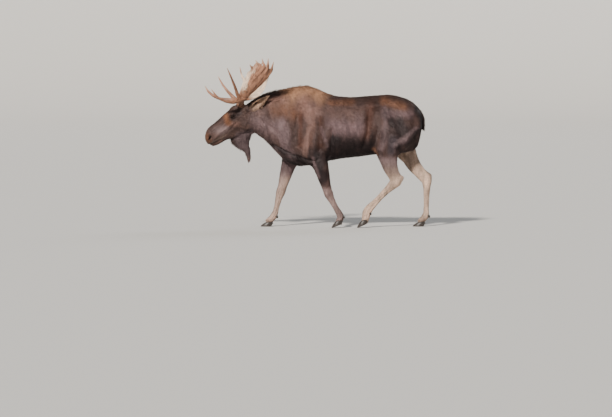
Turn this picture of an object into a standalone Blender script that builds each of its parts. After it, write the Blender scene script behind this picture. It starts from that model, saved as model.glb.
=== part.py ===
"""A bull moose, life size, standing still in mid-stride: head low, antlers up, left side towards -Y.

The animal faces -X and stands on Z = 0. Its flesh is one skin of lofted and blended masses, which
thin cuts then part into head, neck, trunk and legs. Eyes, ears, antlers, tail, bell and claws are
bodies of their own, each seated in a socket of its own shape.
"""

from math import cos, pi, radians, sin

import bmesh
import bpy
import numpy as np
from mathutils import Matrix, Vector

# Driving dimensions, in metres and degrees.
SHOULDER_HEIGHT = 1.772
GAP = 0.0003  # left between bodies that touch
FLESH_VOXEL = 0.014
FLESH_TRIANGLES = 2600
FINE_READINESS = 0.985  # a little under 1 leaves far more triangles
ANTLER_VOXEL = 0.006
ANTLER_TRIANGLES = 500
HEAD_TURN = radians(9)  # towards the left side
HEAD_DROOP = radians(37)  # the face's slope below level
EYE_RADIUS = 0.021
EAR_WIDTH = 0.105
CLAW_LENGTH = 0.125
CLAW_WIDTH = 0.052
CLAW_HEIGHT = 0.062
DEWCLAW_LENGTH = 0.042
TOE_SINK = 0.004  # how much of a toe's tip is worn to a flat where it meets the floor
RING = 28  # points round a lofted section

HIDE_DARK = (0.045, 0.030, 0.024)
HIDE_BROWN = (0.090, 0.058, 0.042)
HIDE_GREY = (0.115, 0.085, 0.072)
HIDE_PALE = (0.330, 0.235, 0.180)
HORN = (0.330, 0.180, 0.100)
CLAW_BLACK = (0.020, 0.017, 0.016)
EYE_BROWN = (0.012, 0.007, 0.005)

for old in list(bpy.data.objects):
    bpy.data.objects.remove(old, do_unlink=True)

moose = bpy.data.collections.new("moose")
cutters = bpy.data.collections.new("cutters")
for collection in (moose, cutters):
    bpy.context.scene.collection.children.link(collection)


def material(name, colour, roughness):
    finish = bpy.data.materials.new(name)
    finish.use_nodes = True
    shader = finish.node_tree.nodes["Principled BSDF"]
    shader.inputs["Base Color"].default_value = (*colour, 1)
    shader.inputs["Roughness"].default_value = roughness
    shader.inputs["Metallic"].default_value = 0.0
    return finish


# ---------------------------------------------------------------- shapes
def smooth_rows(rows, count):
    """A Catmull-Rom curve through rows of numbers, read at `count` even steps."""
    p = np.asarray(rows, float)
    p = np.vstack([2 * p[0] - p[1], p, 2 * p[-1] - p[-2]])
    t = np.linspace(0, len(rows) - 1, count)
    i = np.minimum(t.astype(int), len(rows) - 2)
    f = (t - i)[:, None]
    a, b, c, d = p[i], p[i + 1], p[i + 2], p[i + 3]
    return 0.5 * (2 * b + (c - a) * f + (2 * a - 5 * b + 4 * c - d) * f**2 + (3 * b - a - 3 * c + d) * f**3)


def squared(wave, fullness):
    """A cosine or sine that draws a circle at fullness 2 and a boxier round above it."""
    return np.sign(wave) * np.abs(wave) ** (2 / fullness)


def body(name, rings):
    """A closed mesh through rings of points, all of one count, with its two ends capped."""
    rings = np.asarray(rings, float)
    steps, count, _ = rings.shape
    mesh = bpy.data.meshes.new(name)
    ring_at = [[i * count + j for j in range(count)] for i in range(steps)]
    faces = [
        (ring_at[i][j], ring_at[i][(j + 1) % count], ring_at[i + 1][(j + 1) % count], ring_at[i + 1][j])
        for i in range(steps - 1)
        for j in range(count)
    ]
    mesh.from_pydata(rings.reshape(-1, 3).tolist(), [], faces + [ring_at[0][::-1], ring_at[-1]])
    bm = bmesh.new()
    bm.from_mesh(mesh)
    bmesh.ops.recalc_face_normals(bm, faces=bm.faces)
    bmesh.ops.triangulate(bm, faces=bm.faces)  # so that a socket of the same shape stays exact
    bm.to_mesh(mesh)
    bm.free()
    thing = bpy.data.objects.new(name, mesh)
    cutters.objects.link(thing)
    return thing


def section(top, bottom, half, waist, above, below):
    """Sideways and upward places of a rounded section, widest at `waist` of its height."""
    angle = np.linspace(0, 2 * pi, RING, endpoint=False)
    widest = bottom + waist * (top - bottom)
    upper = np.sin(angle) > 0
    full = np.where(upper, above, below)
    reach = np.where(upper, top - widest, widest - bottom)
    return half * squared(np.cos(angle), full), widest + reach * squared(np.sin(angle), full)


def barrel_rings(stations, count):
    """Upright sections along X, as the rows of TRUNK give them."""
    rings = []
    for x, y, *shape in smooth_rows(stations, count):
        side, rise = section(*shape)
        rings.append(np.column_stack([np.full(RING, x), y + side, rise]))
    return rings


def limb_rings(stations, count, full=2.2, points=RING):
    """Sections square to a line in a plane of constant Y: x, y, z, half depth fore and aft, half width."""
    angle = np.linspace(0, 2 * pi, points, endpoint=False)
    rows = smooth_rows(stations, count)
    along = np.gradient(rows[:, :3], axis=0)
    along /= np.linalg.norm(along, axis=1, keepdims=True)
    fore = np.cross(along, (0, 1, 0))
    fore /= np.linalg.norm(fore, axis=1, keepdims=True)
    wide = np.cross(fore, along)
    round_a, round_b = squared(np.cos(angle), full), squared(np.sin(angle), full)
    return [
        row[:3] + row[3] * np.outer(round_a, fore[i]) + row[4] * np.outer(round_b, wide[i])
        for i, row in enumerate(rows)
    ]


def horn(name, path, radii, steps=10, sides=10):
    """A round tapering horn through the points of `path`, with a radius at each of them."""
    rows = smooth_rows(np.column_stack([path, radii]), steps)
    along = np.gradient(rows[:, :3], axis=0)
    along /= np.linalg.norm(along, axis=1, keepdims=True)
    side = np.cross(along, (0.31, 0.93, 0.2))
    side /= np.linalg.norm(side, axis=1, keepdims=True)
    other = np.cross(along, side)
    angle = np.linspace(0, 2 * pi, sides, endpoint=False)
    rings = [
        row[:3] + row[3] * (np.outer(np.cos(angle), side[i]) + np.outer(np.sin(angle), other[i]))
        for i, row in enumerate(rows)
    ]
    return body(name, rings)


def egg(name, centre, radii, axes=None, segments=20):
    """An ellipsoid whose radii lie along the columns of `axes`, or along X, Y and Z."""
    bpy.ops.mesh.primitive_uv_sphere_add(segments=segments, ring_count=segments // 2, radius=1)
    thing = bpy.context.object
    turn = Matrix.Identity(3) if axes is None else Matrix(axes).transposed()
    place = Matrix.Translation(Vector(centre)) @ turn.to_4x4() @ Matrix.Diagonal((*radii, 1))
    thing.data.transform(place)
    thing.name = name
    for holder in list(thing.users_collection):
        holder.objects.unlink(thing)
    cutters.objects.link(thing)
    return thing


# ---------------------------------------------------------------- joining and parting
def changed(thing, kind, **settings):
    """The object with one modifier's result as its mesh."""
    step = thing.modifiers.new(kind.lower(), kind)
    for key, value in settings.items():
        setattr(step, key, value)
    result = bpy.data.meshes.new_from_object(thing.evaluated_get(bpy.context.evaluated_depsgraph_get()))
    thing.modifiers.clear()
    thing.data = result
    return thing


def twin(thing, name):
    copy = bpy.data.objects.new(name, thing.data.copy())
    cutters.objects.link(copy)
    return copy


def blended(name, things, voxel, rounds, triangles, fine_before=None):
    """One skin over overlapping bodies: fused, softened where they meet, then thinned out.

    What lies before the X of `fine_before` keeps more of its triangles than the rest.
    """
    mesh = bpy.data.meshes.new(name)
    bm = bmesh.new()
    for thing in things:
        bm.from_mesh(thing.data)
        bpy.data.objects.remove(thing)
    bm.to_mesh(mesh)
    bm.free()
    skin = bpy.data.objects.new(name, mesh)
    cutters.objects.link(skin)
    changed(skin, "REMESH", mode="VOXEL", voxel_size=voxel)
    changed(skin, "SMOOTH", factor=0.5, iterations=rounds)
    faces = sum(len(polygon.vertices) - 2 for polygon in skin.data.polygons)
    thinning = {"ratio": min(1.0, triangles / faces), "use_collapse_triangulate": True}
    if fine_before is not None:
        readiness = skin.vertex_groups.new(name="readiness")  # to be thinned
        for vertex in skin.data.vertices:
            readiness.add([vertex.index], FINE_READINESS if vertex.co.x < fine_before else 1.0, "REPLACE")
        thinning |= {"vertex_group": "readiness", "vertex_group_factor": 1.0}
    changed(skin, "DECIMATE", **thinning)
    return skin


def grown(thing):
    """A copy of a body, larger all round by the gap that touching bodies keep."""
    copy = twin(thing, thing.name + "_socket")
    return changed(copy, "DISPLACE", strength=GAP, mid_level=0.0)


def cut_away(thing, cutter):
    cutter.hide_render = True
    cutter.display_type = "WIRE"
    changed(thing, "BOOLEAN", object=cutter, operation="DIFFERENCE", solver="EXACT")


def seat(piece, *holders):
    """Cuts a socket for a piece into each body that holds it."""
    socket = grown(piece)
    for holder in holders:
        cut_away(holder, socket)
    bpy.data.objects.remove(socket)


def part_off(rest, name, centre, size, turn=None):
    """Splits off what lies in a turned box, and leaves a thin cut between it and the rest."""
    turn = Matrix.Identity(4) if turn is None else turn
    pieces = []
    for spare, operation in ((0.0, "INTERSECT"), (GAP, "DIFFERENCE")):
        bpy.ops.mesh.primitive_cube_add(size=1)
        box = bpy.context.object
        box.data.transform(Matrix.Diagonal((*(edge + 2 * spare for edge in size), 1)))
        box.data.transform(Matrix.Translation(Vector(centre)) @ turn)
        box.hide_render = True
        box.display_type = "WIRE"
        piece = twin(rest, name)
        changed(piece, "BOOLEAN", object=box, operation=operation, solver="EXACT")
        bpy.data.objects.remove(box)
        pieces.append(piece)
    part, left = pieces
    rest.data = without_slivers(left).data
    bpy.data.objects.remove(left)
    return without_slivers(part)


def without_slivers(thing, fewest=40):
    """Drops the loose crumbs of under `fewest` corners that a cut can leave at a body's edge."""
    bm = bmesh.new()
    bm.from_mesh(thing.data)
    unseen = set(bm.verts)
    crumbs = []
    while unseen:
        island = [unseen.pop()]
        for vertex in island:
            near = {edge.other_vert(vertex) for edge in vertex.link_edges} & unseen
            unseen -= near
            island += near
        if len(island) < fewest:
            crumbs += island
    bmesh.ops.delete(bm, geom=crumbs, context="VERTS")
    bm.to_mesh(thing.data)
    bm.free()
    return thing


finished = []


def finish(thing, name, colour, roughness=0.75):
    """Names a finished body, gives it its material and puts it in the moose's collection."""
    thing.name = name
    thing.data.name = name
    thing.data.materials.clear()
    thing.data.materials.append(material(name, colour, roughness))
    cutters.objects.unlink(thing)
    moose.objects.link(thing)
    finished.append(thing)
    return thing


# ---------------------------------------------------------------- trunk and neck
# x, y, top, bottom, half width, height of the widest place (0 to 1), fullness above and below it
TRUNK = [
    (1.275, 0.000, 1.410, 1.180, 0.070, 0.50, 2.00, 2.00),
    (1.225, 0.000, 1.500, 1.000, 0.141, 0.50, 2.10, 2.10),
    (1.137, 0.000, 1.570, 0.940, 0.189, 0.50, 2.10, 2.10),
    (1.010, 0.000, 1.620, 0.915, 0.220, 0.50, 2.10, 2.10),
    (0.877, 0.000, 1.646, 0.905, 0.231, 0.47, 2.00, 2.10),
    (0.670, 0.000, 1.636, 0.895, 0.239, 0.44, 1.90, 2.20),
    (0.465, 0.000, 1.618, 0.868, 0.260, 0.42, 1.90, 2.20),
    (0.257, 0.000, 1.625, 0.845, 0.275, 0.42, 1.85, 2.20),
    (0.115, 0.000, 1.665, 0.820, 0.266, 0.40, 1.70, 2.10),
    (-0.029, 0.000, 1.733, 0.785, 0.238, 0.37, 1.60, 2.00),
    (-0.153, 0.000, SHOULDER_HEIGHT, 0.760, 0.218, 0.35, 1.55, 1.90),
    (-0.289, 0.000, 1.761, 0.765, 0.199, 0.36, 1.60, 1.90),
    (-0.418, 0.000, 1.733, 0.830, 0.180, 0.40, 1.70, 1.85),
    (-0.537, -0.005, 1.705, 0.935, 0.177, 0.44, 1.80, 1.80),
    (-0.661, -0.018, 1.668, 1.065, 0.162, 0.46, 1.90, 1.80),
    (-0.773, -0.028, 1.612, 1.150, 0.147, 0.46, 1.90, 1.80),
    (-0.859, -0.036, 1.550, 1.200, 0.131, 0.46, 1.90, 1.90),
    (-0.920, -0.042, 1.490, 1.240, 0.104, 0.46, 2.00, 2.00),
]

# ---------------------------------------------------------------- legs
# x, y (positive outwards), z, half depth fore and aft, half width; from the top down to the coronet
LEFT_FORE = [
    (-0.120, 0.060, 1.620, 0.090, 0.040),
    (-0.180, 0.112, 1.400, 0.165, 0.085),
    (-0.200, 0.146, 1.140, 0.190, 0.095),
    (-0.120, 0.162, 0.970, 0.165, 0.090),
    (-0.010, 0.168, 0.840, 0.120, 0.078),
    (0.034, 0.177, 0.740, 0.095, 0.068),
    (0.066, 0.169, 0.620, 0.078, 0.058),
    (0.100, 0.163, 0.500, 0.060, 0.049),
    (0.122, 0.160, 0.430, 0.062, 0.053),
    (0.153, 0.158, 0.360, 0.047, 0.041),
    (0.207, 0.154, 0.260, 0.038, 0.033),
    (0.255, 0.152, 0.180, 0.042, 0.037),
    (0.272, 0.150, 0.145, 0.047, 0.043),
    (0.268, 0.149, 0.110, 0.042, 0.042),
    (0.255, 0.149, 0.075, 0.046, 0.050),
    (0.246, 0.149, 0.052, 0.044, 0.050),
]
RIGHT_FORE = [
    (-0.160, 0.060, 1.620, 0.090, 0.040),
    (-0.250, 0.112, 1.400, 0.165, 0.085),
    (-0.320, 0.142, 1.140, 0.180, 0.095),
    (-0.360, 0.158, 0.980, 0.155, 0.088),
    (-0.345, 0.165, 0.860, 0.120, 0.076),
    (-0.372, 0.171, 0.760, 0.093, 0.067),
    (-0.410, 0.164, 0.630, 0.077, 0.058),
    (-0.446, 0.158, 0.500, 0.060, 0.049),
    (-0.468, 0.155, 0.430, 0.062, 0.053),
    (-0.490, 0.153, 0.360, 0.047, 0.041),
    (-0.516, 0.149, 0.250, 0.037, 0.033),
    (-0.538, 0.146, 0.170, 0.039, 0.036),
    (-0.552, 0.144, 0.132, 0.047, 0.043),
    (-0.580, 0.142, 0.098, 0.041, 0.042),
    (-0.612, 0.141, 0.070, 0.046, 0.050),
    (-0.630, 0.141, 0.052, 0.044, 0.050),
]
LEFT_HIND = [
    (0.990, 0.079, 1.500, 0.140, 0.070),
    (0.950, 0.140, 1.260, 0.235, 0.105),
    (0.890, 0.160, 1.080, 0.225, 0.110),
    (0.855, 0.166, 0.940, 0.155, 0.094),
    (0.865, 0.163, 0.840, 0.115, 0.078),
    (0.890, 0.158, 0.740, 0.094, 0.064),
    (0.935, 0.154, 0.645, 0.078, 0.052),
    (0.960, 0.153, 0.580, 0.078, 0.053),
    (0.895, 0.152, 0.510, 0.056, 0.045),
    (0.801, 0.149, 0.420, 0.042, 0.036),
    (0.697, 0.147, 0.310, 0.045, 0.033),
    (0.625, 0.146, 0.235, 0.055, 0.038),
    (0.597, 0.145, 0.185, 0.058, 0.043),
    (0.586, 0.145, 0.140, 0.051, 0.042),
    (0.577, 0.145, 0.090, 0.045, 0.047),
    (0.566, 0.145, 0.058, 0.042, 0.047),
]
RIGHT_HIND = [
    (1.000, 0.079, 1.500, 0.140, 0.070),
    (1.000, 0.140, 1.260, 0.225, 0.105),
    (1.030, 0.160, 1.080, 0.205, 0.108),
    (1.080, 0.166, 0.950, 0.140, 0.092),
    (1.135, 0.163, 0.860, 0.105, 0.078),
    (1.190, 0.158, 0.760, 0.088, 0.064),
    (1.275, 0.154, 0.660, 0.074, 0.052),
    (1.340, 0.153, 0.595, 0.076, 0.053),
    (1.350, 0.152, 0.510, 0.053, 0.045),
    (1.347, 0.150, 0.400, 0.041, 0.036),
    (1.345, 0.148, 0.260, 0.036, 0.033),
    (1.343, 0.147, 0.180, 0.039, 0.037),
    (1.338, 0.146, 0.138, 0.048, 0.043),
    (1.312, 0.145, 0.100, 0.042, 0.042),
    (1.282, 0.145, 0.070, 0.045, 0.047),
    (1.266, 0.145, 0.052, 0.042, 0.047),
]
LEGS = {
    "left_fore": (LEFT_FORE, -1),
    "right_fore": (RIGHT_FORE, 1),
    "left_hind": (LEFT_HIND, -1),
    "right_hind": (RIGHT_HIND, 1),
}


def leg(name):
    stations, side = LEGS[name]
    return body(name, limb_rings([(x, side * y, z, a, b) for x, y, z, a, b in stations], 60))


# Masses that stand out of the lofts: centre (y positive outwards), radii, slope in the XZ plane
MASSES = {
    "left_fore": [
        ((0.055, 0.172, 0.86), (0.075, 0.052, 0.055), 40),  # point of the elbow
        ((-0.30, 0.140, 1.10), (0.11, 0.09, 0.14), 20),  # point of the shoulder
        ((0.02, 0.140, 1.10), (0.20, 0.115, 0.15), 30),  # upper arm's rear muscle
    ],
    "right_fore": [
        ((-0.27, 0.168, 0.87), (0.075, 0.052, 0.055), 40),
        ((-0.39, 0.132, 1.08), (0.11, 0.09, 0.14), 20),
        ((-0.12, 0.138, 1.08), (0.20, 0.115, 0.15), 30),
    ],
    "left_hind": [
        ((1.020, 0.164, 0.612), (0.045, 0.034, 0.036), -50),  # point of the hock
        ((0.80, 0.165, 1.02), (0.11, 0.08, 0.13), -20),  # stifle
        ((1.04, 0.150, 1.16), (0.14, 0.10, 0.20), 15),  # rear of the thigh
    ],
    "right_hind": [
        ((1.378, 0.164, 0.628), (0.042, 0.034, 0.036), -50),
        ((0.99, 0.165, 1.02), (0.11, 0.08, 0.13), -20),
        ((1.12, 0.150, 1.14), (0.12, 0.10, 0.20), 15),
    ],
}


def masses(name):
    _, side = LEGS[name]
    made = []
    for (x, y, z), radii, slope in MASSES[name]:
        tilt = Matrix.Rotation(radians(slope), 3, "Y").transposed()
        made.append(egg(name + "_mass", (x, side * y, z), radii, tilt))
    return made


# ---------------------------------------------------------------- head
OCCIPUT = np.array((-0.884, -0.038, 1.364))
HEAD_LEFT = np.array((sin(HEAD_TURN), -cos(HEAD_TURN), 0))
HEAD_LEVEL = np.array((-cos(HEAD_TURN), -sin(HEAD_TURN), 0))
HEAD_FORWARD = cos(HEAD_DROOP) * HEAD_LEVEL - sin(HEAD_DROOP) * np.array((0, 0, 1))
HEAD_UP = sin(HEAD_DROOP) * HEAD_LEVEL + cos(HEAD_DROOP) * np.array((0, 0, 1))
HEAD_AXES = (HEAD_FORWARD, HEAD_LEFT, HEAD_UP)

# distance forward from the occiput, top and bottom above the head's axis, half width, widest place,
# fullness above and below it
SKULL = [
    (-0.09, 0.085, -0.090, 0.075, 0.50, 2.0, 2.0),
    (-0.02, 0.150, -0.130, 0.098, 0.50, 2.0, 2.0),
    (0.06, 0.185, -0.145, 0.104, 0.50, 2.1, 2.0),
    (0.13, 0.203, -0.130, 0.106, 0.58, 2.3, 1.9),
    (0.20, 0.203, -0.100, 0.097, 0.58, 2.3, 1.9),
    (0.28, 0.196, -0.065, 0.080, 0.50, 2.3, 2.0),
    (0.36, 0.191, -0.035, 0.068, 0.45, 2.2, 2.2),
    (0.43, 0.192, -0.022, 0.067, 0.42, 2.1, 2.5),
    (0.49, 0.182, -0.010, 0.073, 0.40, 2.1, 2.6),
    (0.54, 0.150, 0.002, 0.074, 0.40, 2.1, 2.6),
    (0.572, 0.112, 0.014, 0.062, 0.42, 2.1, 2.4),
    (0.590, 0.080, 0.030, 0.036, 0.45, 2.0, 2.0),
]
LOWER_JAW = [
    (0.00, -0.040, -0.125, 0.066, 0.50, 2.0, 1.8),
    (0.06, -0.040, -0.145, 0.072, 0.50, 2.0, 1.8),
    (0.13, -0.045, -0.150, 0.070, 0.50, 2.0, 1.8),
    (0.21, -0.035, -0.120, 0.060, 0.50, 2.0, 1.9),
    (0.29, -0.025, -0.092, 0.049, 0.50, 2.0, 2.0),
    (0.37, -0.018, -0.074, 0.043, 0.50, 2.0, 2.0),
    (0.45, -0.010, -0.064, 0.041, 0.50, 2.0, 2.0),
    (0.52, 0.002, -0.048, 0.040, 0.50, 2.0, 2.0),
    (0.560, 0.006, -0.030, 0.030, 0.50, 2.0, 2.0),
    (0.572, 0.002, -0.016, 0.014, 0.50, 2.0, 2.0),
]


def on_head(forward, left, up):
    """A point of the head's own frame: forward along the face, to its left, and up from it."""
    return OCCIPUT + forward * HEAD_FORWARD + left * HEAD_LEFT + up * HEAD_UP


def head_rings(stations, count):
    """Sections square to the head's axis."""
    rings = []
    for forward, *shape in smooth_rows(stations, count):
        left, up = section(*shape)
        rings.append(OCCIPUT + forward * HEAD_FORWARD + np.outer(left, HEAD_LEFT) + np.outer(up, HEAD_UP))
    return rings


# Masses of the head: forward, left, up; radii forward, left, up. Each is made on both sides.
HEAD_MASSES = [
    ((0.145, 0.078, 0.140), (0.055, 0.030, 0.030)),  # brow over the eye
    ((0.175, 0.080, 0.075), (0.075, 0.024, 0.030)),  # cheek bone under the eye
    ((0.075, 0.070, -0.045), (0.085, 0.042, 0.085)),  # chewing muscle
    ((0.000, 0.062, 0.150), (0.045, 0.036, 0.050)),  # pedicle of the antler
    ((0.075, 0.030, 0.175), (0.075, 0.040, 0.045)),  # forehead
    ((0.490, 0.050, 0.085), (0.075, 0.028, 0.062)),  # side of the muzzle
    ((-0.045, 0.075, 0.095), (0.060, 0.040, 0.055)),  # root of the ear
]
EYE = (0.150, 0.0860, 0.118)
NOSTRIL = (0.530, 0.066, 0.078)
NOSTRIL_RADII = (0.030, 0.016, 0.017)


def head_masses():
    return [
        egg("head_mass", on_head(forward, side * left, up), radii, HEAD_AXES)
        for (forward, left, up), radii in HEAD_MASSES
        for side in (-1, 1)
    ]


# ---------------------------------------------------------------- bell, under the throat
# x, z, half depth, half width
BELL = [
    (-0.925, 1.235, 0.120, 0.045),
    (-0.950, 1.150, 0.138, 0.046),
    (-0.965, 1.080, 0.122, 0.042),
    (-0.945, 1.015, 0.092, 0.037),
    (-0.895, 0.955, 0.052, 0.031),
    (-0.870, 0.905, 0.034, 0.027),
    (-0.864, 0.855, 0.027, 0.023),
    (-0.866, 0.820, 0.012, 0.011),
]


def bell():
    angle = np.linspace(0, 2 * pi, 12, endpoint=False)
    rings = [
        np.column_stack([x + a * np.cos(angle), -0.045 + b * np.sin(angle), np.full(12, z)])
        for x, z, a, b in smooth_rows(BELL, 11)
    ]
    return body("bell", rings)


# ---------------------------------------------------------------- flesh
flesh = blended(
    "flesh",
    [body("trunk", barrel_rings(TRUNK, 90))]
    + [leg(name) for name in LEGS]
    + [mass for name in LEGS for mass in masses(name)]
    + [body("skull", head_rings(SKULL, 44)), body("jaw", head_rings(LOWER_JAW, 36))]
    + head_masses(),
    FLESH_VOXEL,
    rounds=8,
    triangles=FLESH_TRIANGLES,
    fine_before=-0.87,
)


# ---------------------------------------------------------------- antlers
POLL = np.array((-0.934, -0.040, 1.526))  # between the burrs

# Each point: forward (level), up, out from the poll
BEAM = [(0.02, -0.075, 0.045), (0.03, -0.01, 0.080), (0.03, 0.035, 0.130), (0.01, 0.085, 0.190)]
BEAM_RADII = [0.026, 0.029, 0.029, 0.031]
BURR = (0.03, -0.008, 0.082)
BROW_FORK = [(0.030, 0.040, 0.140), (0.070, 0.048, 0.165), (0.120, 0.055, 0.195)]
BROW_RADII = [0.030, 0.031, 0.022]
TINE_RADII = [0.023, 0.022, 0.018, 0.014, 0.005]
PALM_THICKNESS = [0.036, 0.026, 0.019, 0.016, 0.014, 0.011]
PALM_TRAY = [0.004, 0.018, 0.036, 0.050, 0.050, 0.042]  # how far its edges curl inwards
# The two antlers differ as any bull's do. Points are forward, up and out from the poll. A palm's
# points stand on its rim, at a place along it (0 to 1) and across it (-1 front, 1 rear), and end at a tip.
ANTLERS = {
    "left": {
        "side": 1,
        "lower": [
            (0.080, 0.032, 0.170),
            (0.170, 0.026, 0.210),
            (0.256, 0.042, 0.235),
            (0.354, 0.092, 0.262),
            (0.429, 0.187, 0.285),
        ],
        "upper": [
            (0.050, 0.045, 0.160),
            (0.095, 0.120, 0.205),
            (0.130, 0.205, 0.262),
            (0.178, 0.300, 0.340),
            (0.253, 0.446, 0.440),
        ],
        "palm": [
            (0.020, 0.060, 0.160),
            (0.002, 0.120, 0.222),
            (-0.044, 0.198, 0.300),
            (-0.102, 0.288, 0.375),
            (-0.156, 0.374, 0.426),
            (-0.200, 0.460, 0.474),
        ],
        "half_widths": [0.038, 0.060, 0.088, 0.110, 0.120, 0.108],
        "across": (-0.90, -0.43, 0.0),
        "points": [
            (0.80, -0.97, (-0.026, 0.488, 0.430)),
            (0.97, -0.50, (-0.092, 0.540, 0.465)),
            (1.00, -0.02, (-0.170, 0.562, 0.485)),
            (1.00, 0.46, (-0.245, 0.565, 0.500)),
            (0.93, 0.95, (-0.312, 0.525, 0.505)),
        ],
    },
    "right": {
        "side": -1,
        "lower": [
            (0.080, 0.045, 0.170),
            (0.190, 0.050, 0.220),
            (0.300, 0.078, 0.255),
            (0.389, 0.145, 0.280),
            (0.436, 0.222, 0.300),
        ],
        "upper": [
            (0.060, 0.050, 0.165),
            (0.105, 0.095, 0.210),
            (0.150, 0.150, 0.260),
            (0.208, 0.235, 0.330),
            (0.259, 0.341, 0.400),
        ],
        "palm": [
            (0.010, 0.055, 0.160),
            (-0.056, 0.092, 0.222),
            (-0.130, 0.165, 0.300),
            (-0.196, 0.252, 0.375),
            (-0.246, 0.340, 0.430),
            (-0.288, 0.415, 0.460),
        ],
        "half_widths": [0.038, 0.088, 0.135, 0.142, 0.130, 0.108],
        "across": (-0.79, -0.61, 0.0),
        "points": [
            (0.45, -0.95, (-0.022, 0.456, 0.440)),
            (0.66, -0.97, (-0.148, 0.400, 0.465)),
            (0.92, -0.85, (-0.238, 0.492, 0.480)),
            (1.00, -0.25, (-0.315, 0.515, 0.490)),
            (1.00, 0.35, (-0.375, 0.490, 0.495)),
            (0.90, 0.95, (-0.415, 0.415, 0.485)),
        ],
    },
}


def from_poll(points, side):
    """Forward, up and out from the poll, turned into the moose's frame for one side of the head."""
    forward, up, out = np.asarray(points, float).T
    level = np.outer(forward, HEAD_LEVEL) + np.outer(side * out, HEAD_LEFT)
    return POLL + level + np.outer(up, (0, 0, 1))


def palm_grid(shape, along, across):
    """Middle points, inward normals and thickness of a palm, at places along it and across it."""
    rows = smooth_rows(np.column_stack([shape["palm"], shape["half_widths"], PALM_THICKNESS, PALM_TRAY]), 81)
    steps = np.linspace(0, 1, 81)
    at = np.array([np.interp(along, steps, column) for column in rows.T]).T
    run = np.array([np.interp(along, steps, column) for column in np.gradient(rows[:, :3], axis=0).T]).T
    run /= np.linalg.norm(run, axis=-1, keepdims=True)
    rearward = np.array(shape["across"]) / np.linalg.norm(shape["across"])
    inward = np.cross(np.broadcast_to(rearward, run.shape), run)
    inward /= np.linalg.norm(inward, axis=-1, keepdims=True)
    flat = at[:, :3] + (at[:, 3] * across)[:, None] * rearward
    return flat + (at[:, 5] * across**2)[:, None] * inward, inward, at[:, 4]


def palm(shape):
    """A thick sheet, rounded at its edges and hollowed like a tray towards the middle of the head."""
    across = np.sin(np.linspace(-pi / 2, pi / 2, 13))
    rings = []
    for along in np.linspace(0, 1, 18):
        middle, inward, thick = palm_grid(shape, np.full(13, along), across)
        half = (0.5 * thick * np.sqrt(np.maximum(1 - across**4, 0.12)))[:, None]
        loop = np.vstack([middle + half * inward, (middle - half * inward)[::-1]])
        rings.append(from_poll(loop, shape["side"]))
    return body("palm", rings)


def palm_point(shape, along, across, tip):
    """A point that grows out of the palm's rim and bends a little inwards at its tip."""
    within, rim = (along - 0.16, across * 0.84), (along, across * 0.97)
    base, inward, _ = palm_grid(shape, *np.array([within, rim]).T)
    middle = 0.5 * (base[1] + tip) - 0.06 * np.linalg.norm(base[1] - tip) * inward[1]
    path = from_poll([base[0], base[1], middle, tip], shape["side"])
    return horn("point", path, [0.014, 0.018, 0.012, 0.005], 10, 9)


def antler(name):
    shape = ANTLERS[name]
    side = shape["side"]
    burr_axes = (HEAD_LEVEL, side * HEAD_LEFT, (0, 0, 1))
    things = [
        horn("beam", from_poll(BEAM, side), BEAM_RADII, 16, 14),
        egg("burr", from_poll([BURR], side)[0], (0.042, 0.017, 0.040), burr_axes),
        horn("fork", from_poll(BROW_FORK, side), BROW_RADII, 10, 12),
        horn("lower", from_poll(shape["lower"], side), TINE_RADII, 22, 12),
        horn("upper", from_poll(shape["upper"], side), TINE_RADII, 22, 12),
        palm(shape),
    ]
    things += [palm_point(shape, *point) for point in shape["points"]]
    return blended("antler_" + name, things, ANTLER_VOXEL, rounds=2, triangles=ANTLER_TRIANGLES)


# ---------------------------------------------------------------- ears, eyes, tail
def ear(name):
    """A cupped leaf with an open mouth that faces outwards, laid back beside the neck."""
    side = {"left": 1, "right": -1}[name]
    root = np.array((-0.055, -0.100, 0.080))
    tip = np.array((-0.290, 0.100, 0.222))
    along = (tip - root) / np.linalg.norm(tip - root)
    mouth = np.array((0.20, -0.35, 1.0))
    mouth = mouth - along * (mouth @ along)
    mouth /= np.linalg.norm(mouth)
    wide = np.cross(along, mouth)
    rings = []
    for t in np.linspace(0, 1, 9):
        half = EAR_WIDTH / 2 * (0.42 + 0.58 * sin(pi * min(t / 0.92, 1) ** 0.75)) * (1 - t**6) ** 0.5
        half = max(half, 0.006)
        cup = radians(150 - 105 * t)  # how far the edges wrap round
        radius = half / sin(min(cup, pi / 2))
        thick = 0.010 - 0.004 * t
        turn = np.linspace(-cup, cup, 6)
        outer = np.column_stack([radius * np.sin(turn), -radius * np.cos(turn)])
        inner = outer * (radius - thick) / radius if radius > 2 * thick else outer * 0.4
        loop = np.vstack([outer, inner[::-1]])
        centre = root + (tip - root) * t + mouth * radius * cos(cup) * 0.5
        rings.append(from_poll(centre + np.outer(loop[:, 0], wide) + np.outer(loop[:, 1], mouth), side))
    return body("ear_" + name, rings)


def eye(name):
    side = {"left": 1, "right": -1}[name]
    forward, left, up = EYE
    return egg("eye_" + name, on_head(forward, side * left, up), (EYE_RADIUS,) * 3, HEAD_AXES, segments=12)


# x, z, radius
TAIL = [
    (1.235, 1.455, 0.030),
    (1.275, 1.400, 0.034),
    (1.298, 1.330, 0.031),
    (1.305, 1.260, 0.025),
    (1.300, 1.205, 0.010),
]


def tail():
    stations = [(x, 0.0, z, radius * 0.8, radius * 1.1) for x, z, radius in TAIL]
    return body("tail", limb_rings(stations, 8, points=10))


# ---------------------------------------------------------------- claws
# Where each foot's toes touch: toe x, y outwards, degrees the heel is raised
FEET = {
    "left_fore": (0.168, 0.149, 22),
    "right_fore": (-0.715, 0.141, 0),
    "left_hind": (0.482, 0.145, 24),
    "right_hind": (1.180, 0.145, 0),
}


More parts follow.
